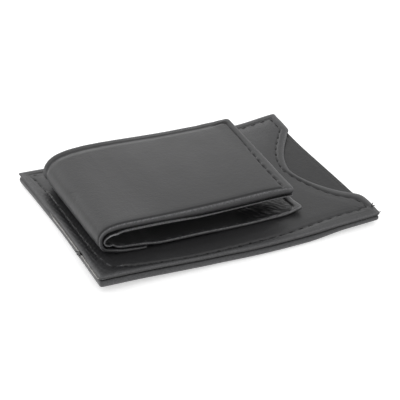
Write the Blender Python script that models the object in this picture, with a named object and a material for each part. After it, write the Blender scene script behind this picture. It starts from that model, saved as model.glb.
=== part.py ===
"""Magnetic money clip wallet.

A slim leather card case with a thumb notch pocket on its upper side and two stepped card slots on
its underside.  A strip of leather, folded into a U, stands on top of it as the money clip: its tail
is fixed to the case, its flap swings up at the fold, and magnets sewn into both legs draw the flap
down on the notes.

Metres, +Z up.  +X runs along the case towards the thumb notch, +Y across it towards the side on
which the card slots open, and the origin lies under the middle of the case.
"""
import math

import bmesh
import bpy
from mathutils import Vector

# The card case
CASE_LENGTH = 0.100
CASE_WIDTH = 0.072
CASE_CORNER_RADIUS = 0.0025
FRONT_LEATHER = 0.0007
BACK_LEATHER = 0.0004
SLOT_LEATHER = 0.0004
LINING_FABRIC = 0.00015
TURNED_EDGE_WIDTH = 0.005
FRONT_TURNED_EDGE = 0.0003
BACK_TURNED_EDGE = 0.00035
BACK_WALL = 0.0006
BACK_SETBACK = 0.0003
GLUE_LINE = 0.00012
CARD_POCKET_GAP = 0.0002
PIECE_CLEARANCE = 0.0002
EDGE_ROUNDING = 0.00035

# The thumb notch in the front panel.  Its land is what is left of the short side at each end.
NOTCH_DEPTH = 0.0133
NOTCH_END_LAND = 0.012
NOTCH_FRONT_FILLET = 0.005
NOTCH_BACK_FILLET = 0.001
HEM_CORNER_RADIUS = 0.001

# The card slots on the underside, measured from the case's front edge to each slot's mouth
LOWER_SLOT_HEIGHT = 0.044
UPPER_SLOT_HEIGHT = 0.056

# The money clip
CLIP_WIDTH = 0.051
FOLD_RADIUS = 0.00575
STRIP_LEATHER = 0.0012
CLIP_LINING = 0.0005
CLIP_SEAT_GAP = 0.00015
CLIP_LAYER_GAP = 0.00015
FOLD_SETBACK = 0.004
FLAP_REACH = 0.0690
LEG_OVERHANG = 0.0043
TAIL_REACH = 0.0168
FLAP_RAMP_START = 0.0032
STRIP_JOIN_GAP = 0.0002
STRIP_EDGE_ROUNDING = 0.001
CLIP_CORNER_RADIUS = 0.0018
FLAP_END_DROP = 0.0009
FLAP_END_THINNING = 0.0003
LINING_SETBACK = 0.0003
LEG_TIP_LIFT = 0.0004
LEG_TIP_THINNING = 0.0005

# The boards and magnets inside the clip.  A land is level leather between a slope and a board.
CLIP_RIM_WIDTH = 0.0035
MAGNET_DIAMETER = 0.012
MAGNET_TO_FLAP_END = 0.0145
MAGNET_TO_BOARD_SIDE = 0.009
MAGNET_EDGE = 0.00015
FLAP_BOARD_THICKNESS = 0.0015
FLAP_BOARD_LENGTH = 0.036
FLAP_BOARD_MARGIN = 0.0013
FLAP_RAMP_LAND = 0.001
LEG_BOARD_THICKNESS = 0.0008
LEG_BOARD_LENGTH = 0.026
LEG_BOARD_MARGIN = 0.0091
LEG_RAMP_LAND = 0.0026
BOARD_CORNER_RADIUS = 0.003
BOARD_CLEARANCE = 0.0003
MAGNET_CLEARANCE = 0.0002

# Shares of the clip's own lengths at which its ends begin to taper, and limits on roundings
FLAP_DROP_START_SHARE = 0.80
LEG_TIP_START_SHARE = 0.86
ROUND_LIMIT_SHARE = 0.46
BEVEL_LIMIT_SHARE = 0.35

# Counts of facets
CORNER_STEPS = 4
NOTCH_STEPS = 18
FILLET_STEPS = 5
SECTION_STEPS = 3
SLOPE_STEPS = 6
END_STEPS = 3
FOLD_STEPS = 12
MAGNET_STEPS = 32
EDGE_SEGMENTS = 2

# One overrun for every cutter
CUT_OVERRUN = 0.002

# Heights in the case, from the table up
LOWER_SLOT_Z = BACK_TURNED_EDGE + GLUE_LINE
LOWER_LINING_Z = LOWER_SLOT_Z + SLOT_LEATHER + CARD_POCKET_GAP
UPPER_SLOT_Z = LOWER_LINING_Z + LINING_FABRIC + GLUE_LINE
UPPER_LINING_Z = UPPER_SLOT_Z + SLOT_LEATHER + CARD_POCKET_GAP
BACK_PLATE_Z = UPPER_LINING_Z + LINING_FABRIC + GLUE_LINE
BACK_TOP_Z = BACK_PLATE_Z + BACK_LEATHER
POCKET_LINING_Z = BACK_TOP_Z + GLUE_LINE
FRONT_HEM_Z = POCKET_LINING_Z + LINING_FABRIC + GLUE_LINE
FRONT_PLATE_Z = FRONT_HEM_Z + FRONT_TURNED_EDGE
FRONT_LINING_Z = FRONT_PLATE_Z - GLUE_LINE - LINING_FABRIC
CASE_TOP_Z = FRONT_PLATE_Z + FRONT_LEATHER

# Places and heights in the clip
CLIP_BASE_Z = CASE_TOP_Z + CLIP_SEAT_GAP
FOLD_FACE_X = FOLD_SETBACK - CASE_LENGTH / 2
FOLD_CENTRE_X = FOLD_FACE_X + FOLD_RADIUS
FOLD_CENTRE_Z = CLIP_BASE_Z + FOLD_RADIUS
LINING_FOLD_RADIUS = FOLD_RADIUS - STRIP_LEATHER - CLIP_LAYER_GAP
HINGE_X = FOLD_FACE_X + STRIP_LEATHER / 2
TAIL_TOP_Z = CLIP_BASE_Z + STRIP_LEATHER
FLAP_TOP_Z = CLIP_BASE_Z + 2 * FOLD_RADIUS
FLAP_ROOF_Z = FLAP_TOP_Z - STRIP_LEATHER
FLAP_BOARD_Z = FLAP_ROOF_Z - CLIP_LAYER_GAP - FLAP_BOARD_THICKNESS
FLAP_END_X = FOLD_FACE_X + FLAP_REACH
LEG_END_X = FLAP_END_X + LEG_OVERHANG
TAIL_END_X = FOLD_FACE_X + TAIL_REACH
STRIP_START_X = FOLD_CENTRE_X + STRIP_JOIN_GAP
LEG_BOARD_Z = CLIP_BASE_Z
LEG_ROOF_Z = LEG_BOARD_Z + LEG_BOARD_THICKNESS + CLIP_LAYER_GAP
LEG_TOP_Z = LEG_ROOF_Z + CLIP_LINING
LEG_START_Z = TAIL_TOP_Z + CLIP_LAYER_GAP
MAGNET_X = FLAP_END_X - MAGNET_TO_FLAP_END
MAGNET_SEAT_RADIUS = MAGNET_DIAMETER / 2 + MAGNET_CLEARANCE
BOARD_WIDTH = CLIP_WIDTH - 2 * CLIP_RIM_WIDTH
MAGNET_Y = BOARD_WIDTH / 2 - MAGNET_TO_BOARD_SIDE
FLAP_BOARD_END_X = MAGNET_X + MAGNET_SEAT_RADIUS + FLAP_BOARD_MARGIN
FLAP_BOARD_START_X = FLAP_BOARD_END_X - FLAP_BOARD_LENGTH
FLAP_RAMP_START_X = FOLD_CENTRE_X + FLAP_RAMP_START
FLAP_RAMP_END_X = FLAP_BOARD_START_X - BOARD_CLEARANCE - FLAP_RAMP_LAND
FLAP_DROP_X = FOLD_CENTRE_X + FLAP_DROP_START_SHARE * (FLAP_END_X - FOLD_CENTRE_X)
LEG_BOARD_END_X = MAGNET_X + MAGNET_SEAT_RADIUS + LEG_BOARD_MARGIN
LEG_BOARD_START_X = LEG_BOARD_END_X - LEG_BOARD_LENGTH
LEG_RAMP_START_X = TAIL_END_X + PIECE_CLEARANCE
LEG_RAMP_END_X = LEG_BOARD_START_X - BOARD_CLEARANCE - LEG_RAMP_LAND
LEG_TIP_X = FOLD_CENTRE_X + LEG_TIP_START_SHARE * (LEG_END_X - FOLD_CENTRE_X)
CLIP_HALF_WIDTH = CLIP_WIDTH / 2


def clear_scene():
    """Remove every object that the file opens with."""
    for obj in list(bpy.data.objects):
        bpy.data.objects.remove(obj, do_unlink=True)


def make_material(name, colour, roughness, metallic=0.0):
    """Return a Principled material of one colour."""
    material = bpy.data.materials.new(name)
    material.use_nodes = True
    shader = material.node_tree.nodes["Principled BSDF"]
    shader.inputs["Base Color"].default_value = (*colour, 1.0)
    shader.inputs["Roughness"].default_value = roughness
    shader.inputs["Metallic"].default_value = metallic
    return material


def new_object(name, shape, material, place=(0, 0, 0), parent=None):
    """Turn a bmesh into a named object at a place in the world, or under its joint's empty."""
    bmesh.ops.recalc_face_normals(shape, faces=shape.faces)
    mesh = bpy.data.meshes.new(name)
    shape.to_mesh(mesh)
    shape.free()
    obj = bpy.data.objects.new(name, mesh)
    bpy.context.scene.collection.objects.link(obj)
    if material:
        mesh.materials.append(material)
    obj.location = place
    if parent:
        obj.parent = parent
        obj.location = Vector(place) - parent.location
    return obj


def round_edges(obj, width):
    """Round the rim of a plate: only edges that turn sharply are bevelled."""
    bevel = obj.modifiers.new("rounded rim", "BEVEL")
    bevel.width = width
    bevel.segments = EDGE_SEGMENTS
    bevel.limit_method = "ANGLE"
    bevel.angle_limit = math.radians(60)
    return bevel


def cut_away(obj, cutter):
    """Cut one solid from another, and keep the cutter out of the model."""
    cutter.hide_render = True
    cutter.display_type = "WIRE"
    cutter.parent = obj.parent
    cut = obj.modifiers.new("cut by " + cutter.name, "BOOLEAN")
    cut.operation = "DIFFERENCE"
    cut.solver = "EXACT"
    cut.object = cutter


def smooth_step(value):
    """Rise from 0 to 1 with flat ends, for values clamped to that range."""
    share = min(max(value, 0.0), 1.0)
    return share * share * (3 - 2 * share)


def arc(centre_x, centre_y, radius, start, end, steps):
    """Points along a circle's arc, both ends included."""
    turns = [start + (end - start) * step / steps for step in range(steps + 1)]
    return [(centre_x + radius * math.cos(turn), centre_y + radius * math.sin(turn)) for turn in turns]


def rounded_rectangle(x_low, x_high, y_low, y_high, radius):
    """A rectangle's outline with round corners, anticlockwise."""
    right = math.pi / 2
    return (arc(x_high - radius, y_low + radius, radius, -right, 0, CORNER_STEPS)
            + arc(x_high - radius, y_high - radius, radius, 0, right, CORNER_STEPS)
            + arc(x_low + radius, y_high - radius, radius, right, 2 * right, CORNER_STEPS)
            + arc(x_low + radius, y_low + radius, radius, 2 * right, 3 * right, CORNER_STEPS))


def case_rectangle(inset, radius):
    """The case's plain outline, drawn in all round."""
    half_length = CASE_LENGTH / 2 - inset
    half_width = CASE_WIDTH / 2 - inset
    return rounded_rectangle(-half_length, half_length, -half_width, half_width, radius)


def notched_outline(inset, corner_radius, front_fillet, back_fillet):
    """The case's outline with the thumb notch, drawn in by the same distance everywhere.

    The notch is one arc.  Its radius follows from its depth and its width at the case's edge, and a
    fillet that touches both the edge and the arc rounds each end of it.
    """
    half_chord = CASE_WIDTH / 2 - NOTCH_END_LAND
    notch_radius = (half_chord ** 2 + NOTCH_DEPTH ** 2) / (2 * NOTCH_DEPTH)
    notch_x = CASE_LENGTH / 2 - NOTCH_DEPTH + notch_radius
    edge_x = CASE_LENGTH / 2 - inset
    half_width = CASE_WIDTH / 2 - inset
    radius = notch_radius + inset

    def fillet_place(fillet):
        across = notch_x - edge_x + fillet
        return edge_x - fillet, math.sqrt((radius + fillet) ** 2 - across ** 2)

    front_x, front_y = fillet_place(front_fillet)
    back_x, back_y = fillet_place(back_fillet)
    front_turn = math.atan2(front_y, notch_x - front_x)
    back_turn = math.atan2(back_y, notch_x - back_x)
    notch = arc(notch_x, 0, radius, front_turn - math.pi, -math.pi - back_turn, NOTCH_STEPS)
    right = math.pi / 2
    return (arc(edge_x - corner_radius, corner_radius - half_width, corner_radius, -right, 0,
                CORNER_STEPS)
            + arc(front_x, -front_y, front_fillet, 0, front_turn, FILLET_STEPS)
            + notch[1:-1]
            + arc(back_x, back_y, back_fillet, -back_turn, 0, FILLET_STEPS)
            + arc(edge_x - corner_radius, half_width - corner_radius, corner_radius, 0, right,
                  CORNER_STEPS)
            + arc(corner_radius - edge_x, half_width - corner_radius, corner_radius, right,
                  2 * right, CORNER_STEPS)
            + arc(corner_radius - edge_x, corner_radius - half_width, corner_radius, 2 * right,
                  3 * right, CORNER_STEPS))


def plate(outline, height):
    """An outline extruded upwards from its own plane."""
    shape = bmesh.new()
    base = shape.faces.new([shape.verts.new((x, y, 0)) for x, y in outline])
    raised = bmesh.ops.extrude_face_region(shape, geom=[base])
    top = [item for item in raised["geom"] if isinstance(item, bmesh.types.BMVert)]
    bmesh.ops.translate(shape, verts=top, vec=(0, 0, height))
    return shape


def disc(diameter, height):
    """A flat round solid that stands on its own plane."""
    turn = 2 * math.pi / MAGNET_STEPS
    radius = diameter / 2
    outline = [(radius * math.cos(turn * step), radius * math.sin(turn * step))
               for step in range(MAGNET_STEPS)]
    return plate(outline, height)


def strip_section(half_width, thickness):
    """A strip's cross-section, across and up, with its edges rolled round."""
    radius = min(STRIP_EDGE_ROUNDING, thickness * ROUND_LIMIT_SHARE)
    flat = half_width - radius
    rise = thickness / 2 - radius
    right = math.pi / 2
    return (arc(flat, -rise, radius, -right, 0, SECTION_STEPS)
            + arc(flat, rise, radius, 0, right, SECTION_STEPS)
            + arc(-flat, rise, radius, right, 2 * right, SECTION_STEPS)
            + arc(-flat, -rise, radius, 2 * right, 3 * right, SECTION_STEPS))


def loft(stations):
    """Skin a strip through its stations.

    A station is x, z, the direction of the strip's face as an angle from +Z towards -X, the strip's
    thickness and its half width.
    """
    shape = bmesh.new()
    rings = []
    for x, z, tilt, thickness, half_width in stations:
        up = Vector((-math.sin(tilt), 0, math.cos(tilt)))
        middle = Vector((x, 0, z))
        section = strip_section(half_width, thickness)
        rings.append([shape.verts.new(middle + Vector((0, across, 0)) + up * rise)
                      for across, rise in section])
    count = len(rings[0])
    for ring, following in zip(rings, rings[1:]):
        for index in range(count):
            after = (index + 1) % count
            shape.faces.new((ring[index], ring[after], following[after], following[index]))
    shape.faces.new(rings[0])
    shape.faces.new(rings[-1])
    return shape


def lengthwise_stations(places, top_at, bottom_at, round_end=True):
    """Stations of a strip that lies flat, from its upper and lower heights.

    Its last stations draw in along a quarter circle, so that the free end has round corners.
    """
    end_x = places[-1]
    stations = [(x, (top_at(x) + bottom_at(x)) / 2, 0, top_at(x) - bottom_at(x), CLIP_HALF_WIDTH)
                for x in places if x < end_x - CLIP_CORNER_RADIUS or not round_end]
    if not round_end:
        return stations
    for step in range(END_STEPS + 1):
        turn = math.pi / 2 * step / END_STEPS
        x = end_x - CLIP_CORNER_RADIUS * (1 - math.sin(turn))
        thickness = top_at(x) - bottom_at(x)
        drawn_in = 1 - math.cos(turn)
        stations.append((x, (top_at(x) + bottom_at(x)) / 2, 0,
                         thickness * (1 - ROUND_LIMIT_SHARE * drawn_in),
                         CLIP_HALF_WIDTH - CLIP_CORNER_RADIUS * drawn_in))
    return stations


def spread(start, end, steps):
    """Even places from start to end."""
    return [start + (end - start) * step / steps for step in range(steps + 1)]


def ramp(x, start, end):
    """Rise from 0 to 1 between two places, with flat ends."""
    return smooth_step((x - start) / (end - start))


def flap_top(x):
    """Height of the flap's upper face, which drops towards the sewn free end."""
    return FLAP_TOP_Z - FLAP_END_DROP * ramp(x, FLAP_DROP_X, FLAP_END_X)


def flap_bottom(x):
    """Height of the flap cover's lower rim: bare leather at the fold, then down over the board."""
    depth = (FLAP_ROOF_Z - FLAP_BOARD_Z) * ramp(x, FLAP_RAMP_START_X, FLAP_RAMP_END_X)
    return FLAP_ROOF_Z - depth + FLAP_END_THINNING * ramp(x, FLAP_DROP_X, FLAP_END_X)


def flap_lining_top(x):
    """Height of the flap lining's upper face, a layer gap under the cover."""
    return flap_bottom(x) - CLIP_LAYER_GAP


def flap_lining_bottom(x):
    """Height of the face that presses on the notes."""
    return flap_lining_top(x) - CLIP_LINING


def leg_bottom(x):
    """Height of the lower leg's underside: on the tail, then down on the case, then a lifted tip."""
    depth = (LEG_START_Z - CLIP_BASE_Z) * ramp(x, LEG_RAMP_START_X, LEG_RAMP_END_X)
    return LEG_START_Z - depth + LEG_TIP_LIFT * ramp(x, LEG_TIP_X, LEG_END_X)


def leg_top(x):
    """Height of the lower leg's upper face."""
    start = LEG_START_Z + CLIP_LINING
    depth = (start - LEG_TOP_Z) * ramp(x, LEG_RAMP_START_X, LEG_RAMP_END_X)
    return start - depth + (LEG_TIP_LIFT - LEG_TIP_THINNING) * ramp(x, LEG_TIP_X, LEG_END_X)


def fold_stations(outer_radius, thickness):
    """Stations of a strip round the fold, from the lower leg's side to the flap's side."""
    middle = outer_radius - thickness / 2
    stations = []
    for step in range(FOLD_STEPS + 1):
        turn = math.pi * step / FOLD_STEPS
        stations.append((FOLD_CENTRE_X - middle * math.sin(turn),
                         FOLD_CENTRE_Z - middle * math.cos(turn),
                         math.pi - turn, thickness, CLIP_HALF_WIDTH))
    return stations


def build_front_panel(leather):
    """The upper leather with its thumb notch.  Its edge is turned under all round as a hem."""
    height = CASE_TOP_Z - FRONT_HEM_Z
    outline = notched_outline(0, CASE_CORNER_RADIUS, NOTCH_FRONT_FILLET, NOTCH_BACK_FILLET)
    panel = new_object("front_panel", plate(outline, height), leather, (0, 0, FRONT_HEM_Z))
    round_edges(panel, min(EDGE_ROUNDING, height * BEVEL_LIMIT_SHARE))
    recess = notched_outline(TURNED_EDGE_WIDTH, HEM_CORNER_RADIUS, HEM_CORNER_RADIUS,
                             HEM_CORNER_RADIUS)
    cutter = new_object("front_recess", plate(recess, FRONT_TURNED_EDGE + CUT_OVERRUN), None,
                        (0, 0, FRONT_HEM_Z - CUT_OVERRUN))
    cut_away(panel, cutter)


def build_front_lining(fabric):
    """The thin fabric behind the front panel, inside its hem."""
    outline = notched_outline(TURNED_EDGE_WIDTH + PIECE_CLEARANCE, HEM_CORNER_RADIUS,
                              HEM_CORNER_RADIUS, HEM_CORNER_RADIUS)
    new_object("front_lining", plate(outline, LINING_FABRIC), fabric, (0, 0, FRONT_LINING_Z))


def build_pocket_lining(fabric):
    """The far wall of the notch pocket, which shows through the thumb notch."""
    outline = case_rectangle(BACK_SETBACK + EDGE_ROUNDING, CASE_CORNER_RADIUS)
    new_object("pocket_lining", plate(outline, LINING_FABRIC), fabric, (0, 0, POCKET_LINING_Z))


def build_back_panel(leather):
    """The back leather.  Its edge turns down and in under the card slots as a hem on all sides."""
    outline = case_rectangle(BACK_SETBACK, CASE_CORNER_RADIUS)
    panel = new_object("back_panel", plate(outline, BACK_TOP_Z), leather)
    round_edges(panel, EDGE_ROUNDING)
    window = case_rectangle(BACK_SETBACK + TURNED_EDGE_WIDTH, HEM_CORNER_RADIUS)
    mouth_height = BACK_TURNED_EDGE + (BACK_PLATE_Z - BACK_TURNED_EDGE) / 2
    cutter = new_object("back_window", plate(window, mouth_height + CUT_OVERRUN), None,
                        (0, 0, -CUT_OVERRUN))
    cut_away(panel, cutter)
    hollow = case_rectangle(BACK_SETBACK + BACK_WALL, CASE_CORNER_RADIUS)
    cutter = new_object("back_hollow", plate(hollow, BACK_PLATE_Z - BACK_TURNED_EDGE), None,
                        (0, 0, BACK_TURNED_EDGE))
    cut_away(panel, cutter)


def slot_outline(height, inset):
    """A card slot's outline: the width of the case inside its hem, from the front edge up."""
    edge = BACK_SETBACK + BACK_WALL + PIECE_CLEARANCE + inset
    half_length = CASE_LENGTH / 2 - edge
    low = edge - CASE_WIDTH / 2
    return rounded_rectangle(-half_length, half_length, low, height - CASE_WIDTH / 2,
                             CASE_CORNER_RADIUS)


def build_card_slots(leather, fabric):
    """Two stepped slots.  Each is a leather front over a thin fabric that the card slides on."""
    slots = (("lower_slot", LOWER_SLOT_HEIGHT, LOWER_SLOT_Z, LOWER_LINING_Z),
             ("upper_slot", UPPER_SLOT_HEIGHT, UPPER_SLOT_Z, UPPER_LINING_Z))
    for name, height, panel_z, lining_z in slots:
        panel = new_object(name + "_panel", plate(slot_outline(height, 0), SLOT_LEATHER), leather,
                           (0, 0, panel_z))
        round_edges(panel, SLOT_LEATHER * BEVEL_LIMIT_SHARE)
        new_object(name + "_lining", plate(slot_outline(height, EDGE_ROUNDING), LINING_FABRIC),
                   fabric, (0, 0, lining_z))


def build_clip_strip(leather, hinge):
    """The outer strip: its tail on the case, the fold, and the flap with its turned-down rim."""
    tail = lengthwise_stations([STRIP_START_X, TAIL_END_X - CLIP_CORNER_RADIUS, TAIL_END_X],
                               lambda x: TAIL_TOP_Z, lambda x: CLIP_BASE_Z)
    new_object("clip_tail", loft(tail), leather)
    new_object("fold_cover", loft(fold_stations(FOLD_RADIUS, STRIP_LEATHER)), leather)
    places = ([STRIP_START_X] + spread(FLAP_RAMP_START_X, FLAP_RAMP_END_X, SLOPE_STEPS)
              + spread(FLAP_DROP_X, FLAP_END_X, SLOPE_STEPS))
    shape = loft(lengthwise_stations(places, flap_top, flap_bottom))
    bmesh.ops.translate(shape, verts=shape.verts, vec=-hinge.location)
    cover = new_object("flap_cover", shape, leather, hinge.location, hinge)
    cut_away(cover, board_hollow("flap_hollow", FLAP_BOARD_START_X, FLAP_BOARD_END_X,
                                 FLAP_BOARD_Z - CUT_OVERRUN, FLAP_ROOF_Z, hinge))


def build_clip_lining(leather, hinge):
    """The inner strip: round the inside of the fold, under the flap, and out as the lower leg."""
    new_object("fold_lining", loft(fold_stations(LINING_FOLD_RADIUS, CLIP_LINING)), leather)
    places = ([STRIP_START_X] + spread(FLAP_RAMP_START_X, FLAP_RAMP_END_X, SLOPE_STEPS)
              + spread(FLAP_DROP_X, FLAP_END_X - LINING_SETBACK, SLOPE_STEPS))
    shape = loft(lengthwise_stations(places, flap_lining_top, flap_lining_bottom))
    bmesh.ops.translate(shape, verts=shape.verts, vec=-hinge.location)
    new_object("flap_lining", shape, leather, hinge.location, hinge)
    places = ([STRIP_START_X] + spread(LEG_RAMP_START_X, LEG_RAMP_END_X, SLOPE_STEPS)
              + spread(LEG_TIP_X, LEG_END_X, SLOPE_STEPS))
    leg = new_object("leg_lining", loft(lengthwise_stations(places, leg_top, leg_bottom)), leather)
    cut_away(leg, board_hollow("leg_hollow", LEG_BOARD_START_X, LEG_BOARD_END_X,
                               CLIP_BASE_Z - CUT_OVERRUN, LEG_ROOF_Z, None))


def board_hollow(name, x_low, x_high, z_low, z_high, parent):
    """The cutter for the room that a board takes, with clearance all round."""
    half_width = BOARD_WIDTH / 2 + BOARD_CLEARANCE
    outline = rounded_rectangle(x_low - BOARD_CLEARANCE, x_high + BOARD_CLEARANCE, -half_width,
                                half_width, BOARD_CORNER_RADIUS)
    return new_object(name, plate(outline, z_high - z_low), None, (0, 0, z_low), parent)


def build_board(name, x_low, x_high, z_low, thickness, board, magnet, parent):
    """A leatherboard stiffener with a round seat for each magnet, and the two magnets in them."""
    outline = rounded_rectangle(x_low, x_high, -BOARD_WIDTH / 2, BOARD_WIDTH / 2,
                                BOARD_CORNER_RADIUS)
    stiffener = new_object(name + "_board", plate(outline, thickness), board, (0, 0, z_low), parent)
    for side, across in (("front", -MAGNET_Y), ("back", MAGNET_Y)):
        seat = disc(2 * MAGNET_SEAT_RADIUS, thickness + 2 * CUT_OVERRUN)
        cut_away(stiffener, new_object(name + "_seat_" + side, seat, None,
                                       (MAGNET_X, across, z_low - CUT_OVERRUN), parent))
        piece = new_object(name + "_magnet_" + side, disc(MAGNET_DIAMETER, thickness), magnet,
                           (MAGNET_X, across, z_low), parent)
        round_edges(piece, MAGNET_EDGE)


def build_wallet():
    """Build every piece of the wallet."""
    clear_scene()
    leather = make_material("black_leather", (0.022, 0.022, 0.023), 0.45)
    lining_leather = make_material("lining_leather", (0.016, 0.016, 0.016), 0.35)
    fabric = make_material("lining_fabric", (0.012, 0.012, 0.012), 0.8)
    board = make_material("leatherboard", (0.24, 0.16, 0.10), 0.85)
    magnet = make_material("nickel_magnet", (0.62, 0.60, 0.57), 0.25, 1.0)
    hinge = bpy.data.objects.new("flap_hinge", None)
    bpy.context.scene.collection.objects.link(hinge)
    hinge.location = (HINGE_X, 0, FOLD_CENTRE_Z)
    build_front_panel(leather)
    build_front_lining(fabric)
    build_pocket_lining(fabric)
    build_back_panel(leather)
    build_card_slots(leather, fabric)
    build_clip_strip(leather, hinge)
    build_clip_lining(lining_leather, hinge)
    build_board("flap", FLAP_BOARD_START_X, FLAP_BOARD_END_X, FLAP_BOARD_Z, FLAP_BOARD_THICKNESS,
                board, magnet, hinge)
    build_board("leg", LEG_BOARD_START_X, LEG_BOARD_END_X, LEG_BOARD_Z, LEG_BOARD_THICKNESS,
                board, magnet, None)


build_wallet()
print("hinge axis through", round(HINGE_X, 6), 0, round(FOLD_CENTRE_Z, 6))
print("case top", round(CASE_TOP_Z, 6), "flap top", round(FLAP_TOP_Z, 6))
print("leg top", round(LEG_TOP_Z, 6), "flap lining underside", round(flap_lining_bottom(MAGNET_X), 6))
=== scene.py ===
# %% [markdown]
# A money clip wallet in black leather
#
# The wallet is a flat card case with a strip of leather folded into a clip on top of it.  The packed
# model gives every solid its place.  This file gives each of them its looks: leather that was cut,
# turned under at the edge, glued and stitched, and that has curled a little in use.

# %% Load the fixed frame
import math

import bmesh
import bpy
import numpy as np
from mathutils import Matrix, Vector


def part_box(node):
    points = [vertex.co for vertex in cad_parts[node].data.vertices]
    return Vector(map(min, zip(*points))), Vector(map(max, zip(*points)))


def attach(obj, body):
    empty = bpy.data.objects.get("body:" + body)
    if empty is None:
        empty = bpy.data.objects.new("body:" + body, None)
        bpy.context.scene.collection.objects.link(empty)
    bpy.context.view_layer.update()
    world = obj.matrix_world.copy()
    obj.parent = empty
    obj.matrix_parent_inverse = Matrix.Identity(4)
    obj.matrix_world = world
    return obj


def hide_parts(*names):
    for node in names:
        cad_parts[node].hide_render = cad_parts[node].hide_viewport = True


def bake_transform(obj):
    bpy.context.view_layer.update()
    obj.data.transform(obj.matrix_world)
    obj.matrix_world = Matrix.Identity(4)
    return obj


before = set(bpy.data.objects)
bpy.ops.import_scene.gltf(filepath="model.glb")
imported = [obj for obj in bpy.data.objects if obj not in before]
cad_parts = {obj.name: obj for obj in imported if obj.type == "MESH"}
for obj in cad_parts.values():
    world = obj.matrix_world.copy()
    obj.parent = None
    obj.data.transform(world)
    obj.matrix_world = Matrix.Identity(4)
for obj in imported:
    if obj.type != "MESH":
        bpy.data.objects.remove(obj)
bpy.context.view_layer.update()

# %% [markdown]
# Leather work is measured in millimetres, so the whole file works in them and turns to metres in
# one place only, where a mesh is made.  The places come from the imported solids.

# %% Sizes read from the frame
MM = 0.001


def solid_box(node):
    """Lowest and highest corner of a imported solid, in millimetres."""
    low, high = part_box(node)
    return np.array(low) / MM, np.array(high) / MM


front_low, front_high = solid_box("front_panel")
HALF_LENGTH, HALF_WIDTH, CASE_TOP = front_high
FRONT_THICKNESS = CASE_TOP - front_low[2]
flap_high = solid_box("flap_cover")[1]
CLIP_HALF = flap_high[1]
print("case", round(2 * HALF_LENGTH, 2), "by", round(2 * HALF_WIDTH, 2), "mm")
print("clip", round(2 * CLIP_HALF, 2), "mm wide, flap ends at", round(flap_high[0], 2), "mm")

# %% [markdown]
# A wallet that has been sat on isn't flat.  Two opposite corners of this one have curled up by about
# two millimetres, as a sheet of paper does when it is twisted and bent along its length.  Every piece
# is drawn flat and then lifted by the same rule, so that the layers stay on each other.

# %% The curl of the whole wallet
# How far each part of the curl lifts a corner, in mm
TWIST = 1.01
LENGTH_BOW = 0.92
WIDTH_BOW = 0.34
TWIST_FADE = -0.34


def lift(x, y):
    """How far a place of the wallet has risen, in mm.

    With u and v the place's shares of the half length and the half width, the rise is a twist times
    u times v, plus one bow that grows with u squared and one that grows with v squared, plus a term
    that fades the twist towards the long sides.  It is zero in the middle.
    """
    u = x / HALF_LENGTH
    v = y / HALF_WIDTH
    return TWIST * u * v + LENGTH_BOW * u * u + WIDTH_BOW * v * v + TWIST_FADE * u * (v * v - 1)


for name, u, v in (("left front", -1, -1), ("right front", 1, -1),
                   ("right back", 1, 1), ("left back", -1, 1)):
    print(name, "corner rises by", round(float(lift(u * HALF_LENGTH, v * HALF_WIDTH)), 2), "mm")

# %% [markdown]
# The camera stands where the photographer stood, low and to the left, about 44 cm away with a long
# lens, which keeps the perspective calm.  Three plain angles aim it: how far it looks down, how far
# it is turned to the right, and a small roll, because the tripod wasn't quite level.

# %% Camera
CAMERA_PLACE = (-171.07, -335.95, 233.18)
CAMERA_DOWN = 31.59
CAMERA_TURN = 27.19
CAMERA_ROLL = 1.82
CAMERA_LENS = 116.8
SENSOR_WIDTH = 36.0
CAMERA_NEAR = 10.0

camera_data = bpy.data.cameras.new("camera")
camera_data.lens = CAMERA_LENS
camera_data.sensor_width = SENSOR_WIDTH
camera_data.clip_start = CAMERA_NEAR * MM
camera = bpy.data.objects.new("camera", camera_data)
bpy.context.scene.collection.objects.link(camera)
camera.matrix_world = (Matrix.Translation([value * MM for value in CAMERA_PLACE])
                       @ Matrix.Rotation(math.radians(-CAMERA_TURN), 4, "Z")
                       @ Matrix.Rotation(math.radians(90 - CAMERA_DOWN), 4, "X")
                       @ Matrix.Rotation(math.radians(CAMERA_ROLL), 4, "Z"))
bpy.context.scene.camera = camera
bpy.context.scene.view_settings.view_transform = "Standard"
print("camera", CAMERA_PLACE, "mm, lens", CAMERA_LENS, "mm")

# %% [markdown]
# Materials are networks of small nodes.  One helper adds a node, sets what it is told and joins it to
# the nodes before it, so that each finish below reads as a list.  Colours are written as the hex
# values that a picture editor shows, and one function turns them to the linear light that a shader
# works in.  Patterns are as coarse as a real size in millimetres says.

# %% Helpers for materials


def linear(hex_colour):
    """An sRGB hex colour as linear red, green, blue and alpha.

    A channel below 0.04045 is divided by 12.92, and any other is raised to 2.4 after 0.055 is added
    and the sum is divided by 1.055.
    """
    channels = np.array([int(hex_colour[start:start + 2], 16) for start in (1, 3, 5)]) / 255
    low = channels / 12.92
    high = ((channels + 0.055) / 1.055) ** 2.4
    return (*np.where(channels <= 0.04045, low, high).tolist(), 1.0)


def shade(hex_colour, share):
    """An sRGB hex colour as linear red, green and blue, each times a share, and alpha."""
    return (*(part * share for part in linear(hex_colour)[:3]), 1.0)


def connect(tree, node, links=None, values=None):
    """Set the values of a node's sockets, and link sockets to earlier nodes."""
    for socket, value in (values or {}).items():
        node.inputs[socket].default_value = value
    for socket, (source, output) in (links or {}).items():
        tree.links.new(source.outputs[output], node.inputs[socket])


def add_node(tree, kind, links=None, values=None, **settings):
    """Add a node, set its properties, and connect it."""
    node = tree.nodes.new(kind)
    for name, value in settings.items():
        setattr(node, name, value)
    connect(tree, node, links, values)
    return node


def new_material(name):
    """An empty material with its output and a Principled shader."""
    material = bpy.data.materials.new(name)
    material.use_nodes = True
    tree = material.node_tree
    return material, tree, tree.nodes["Principled BSDF"]


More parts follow.
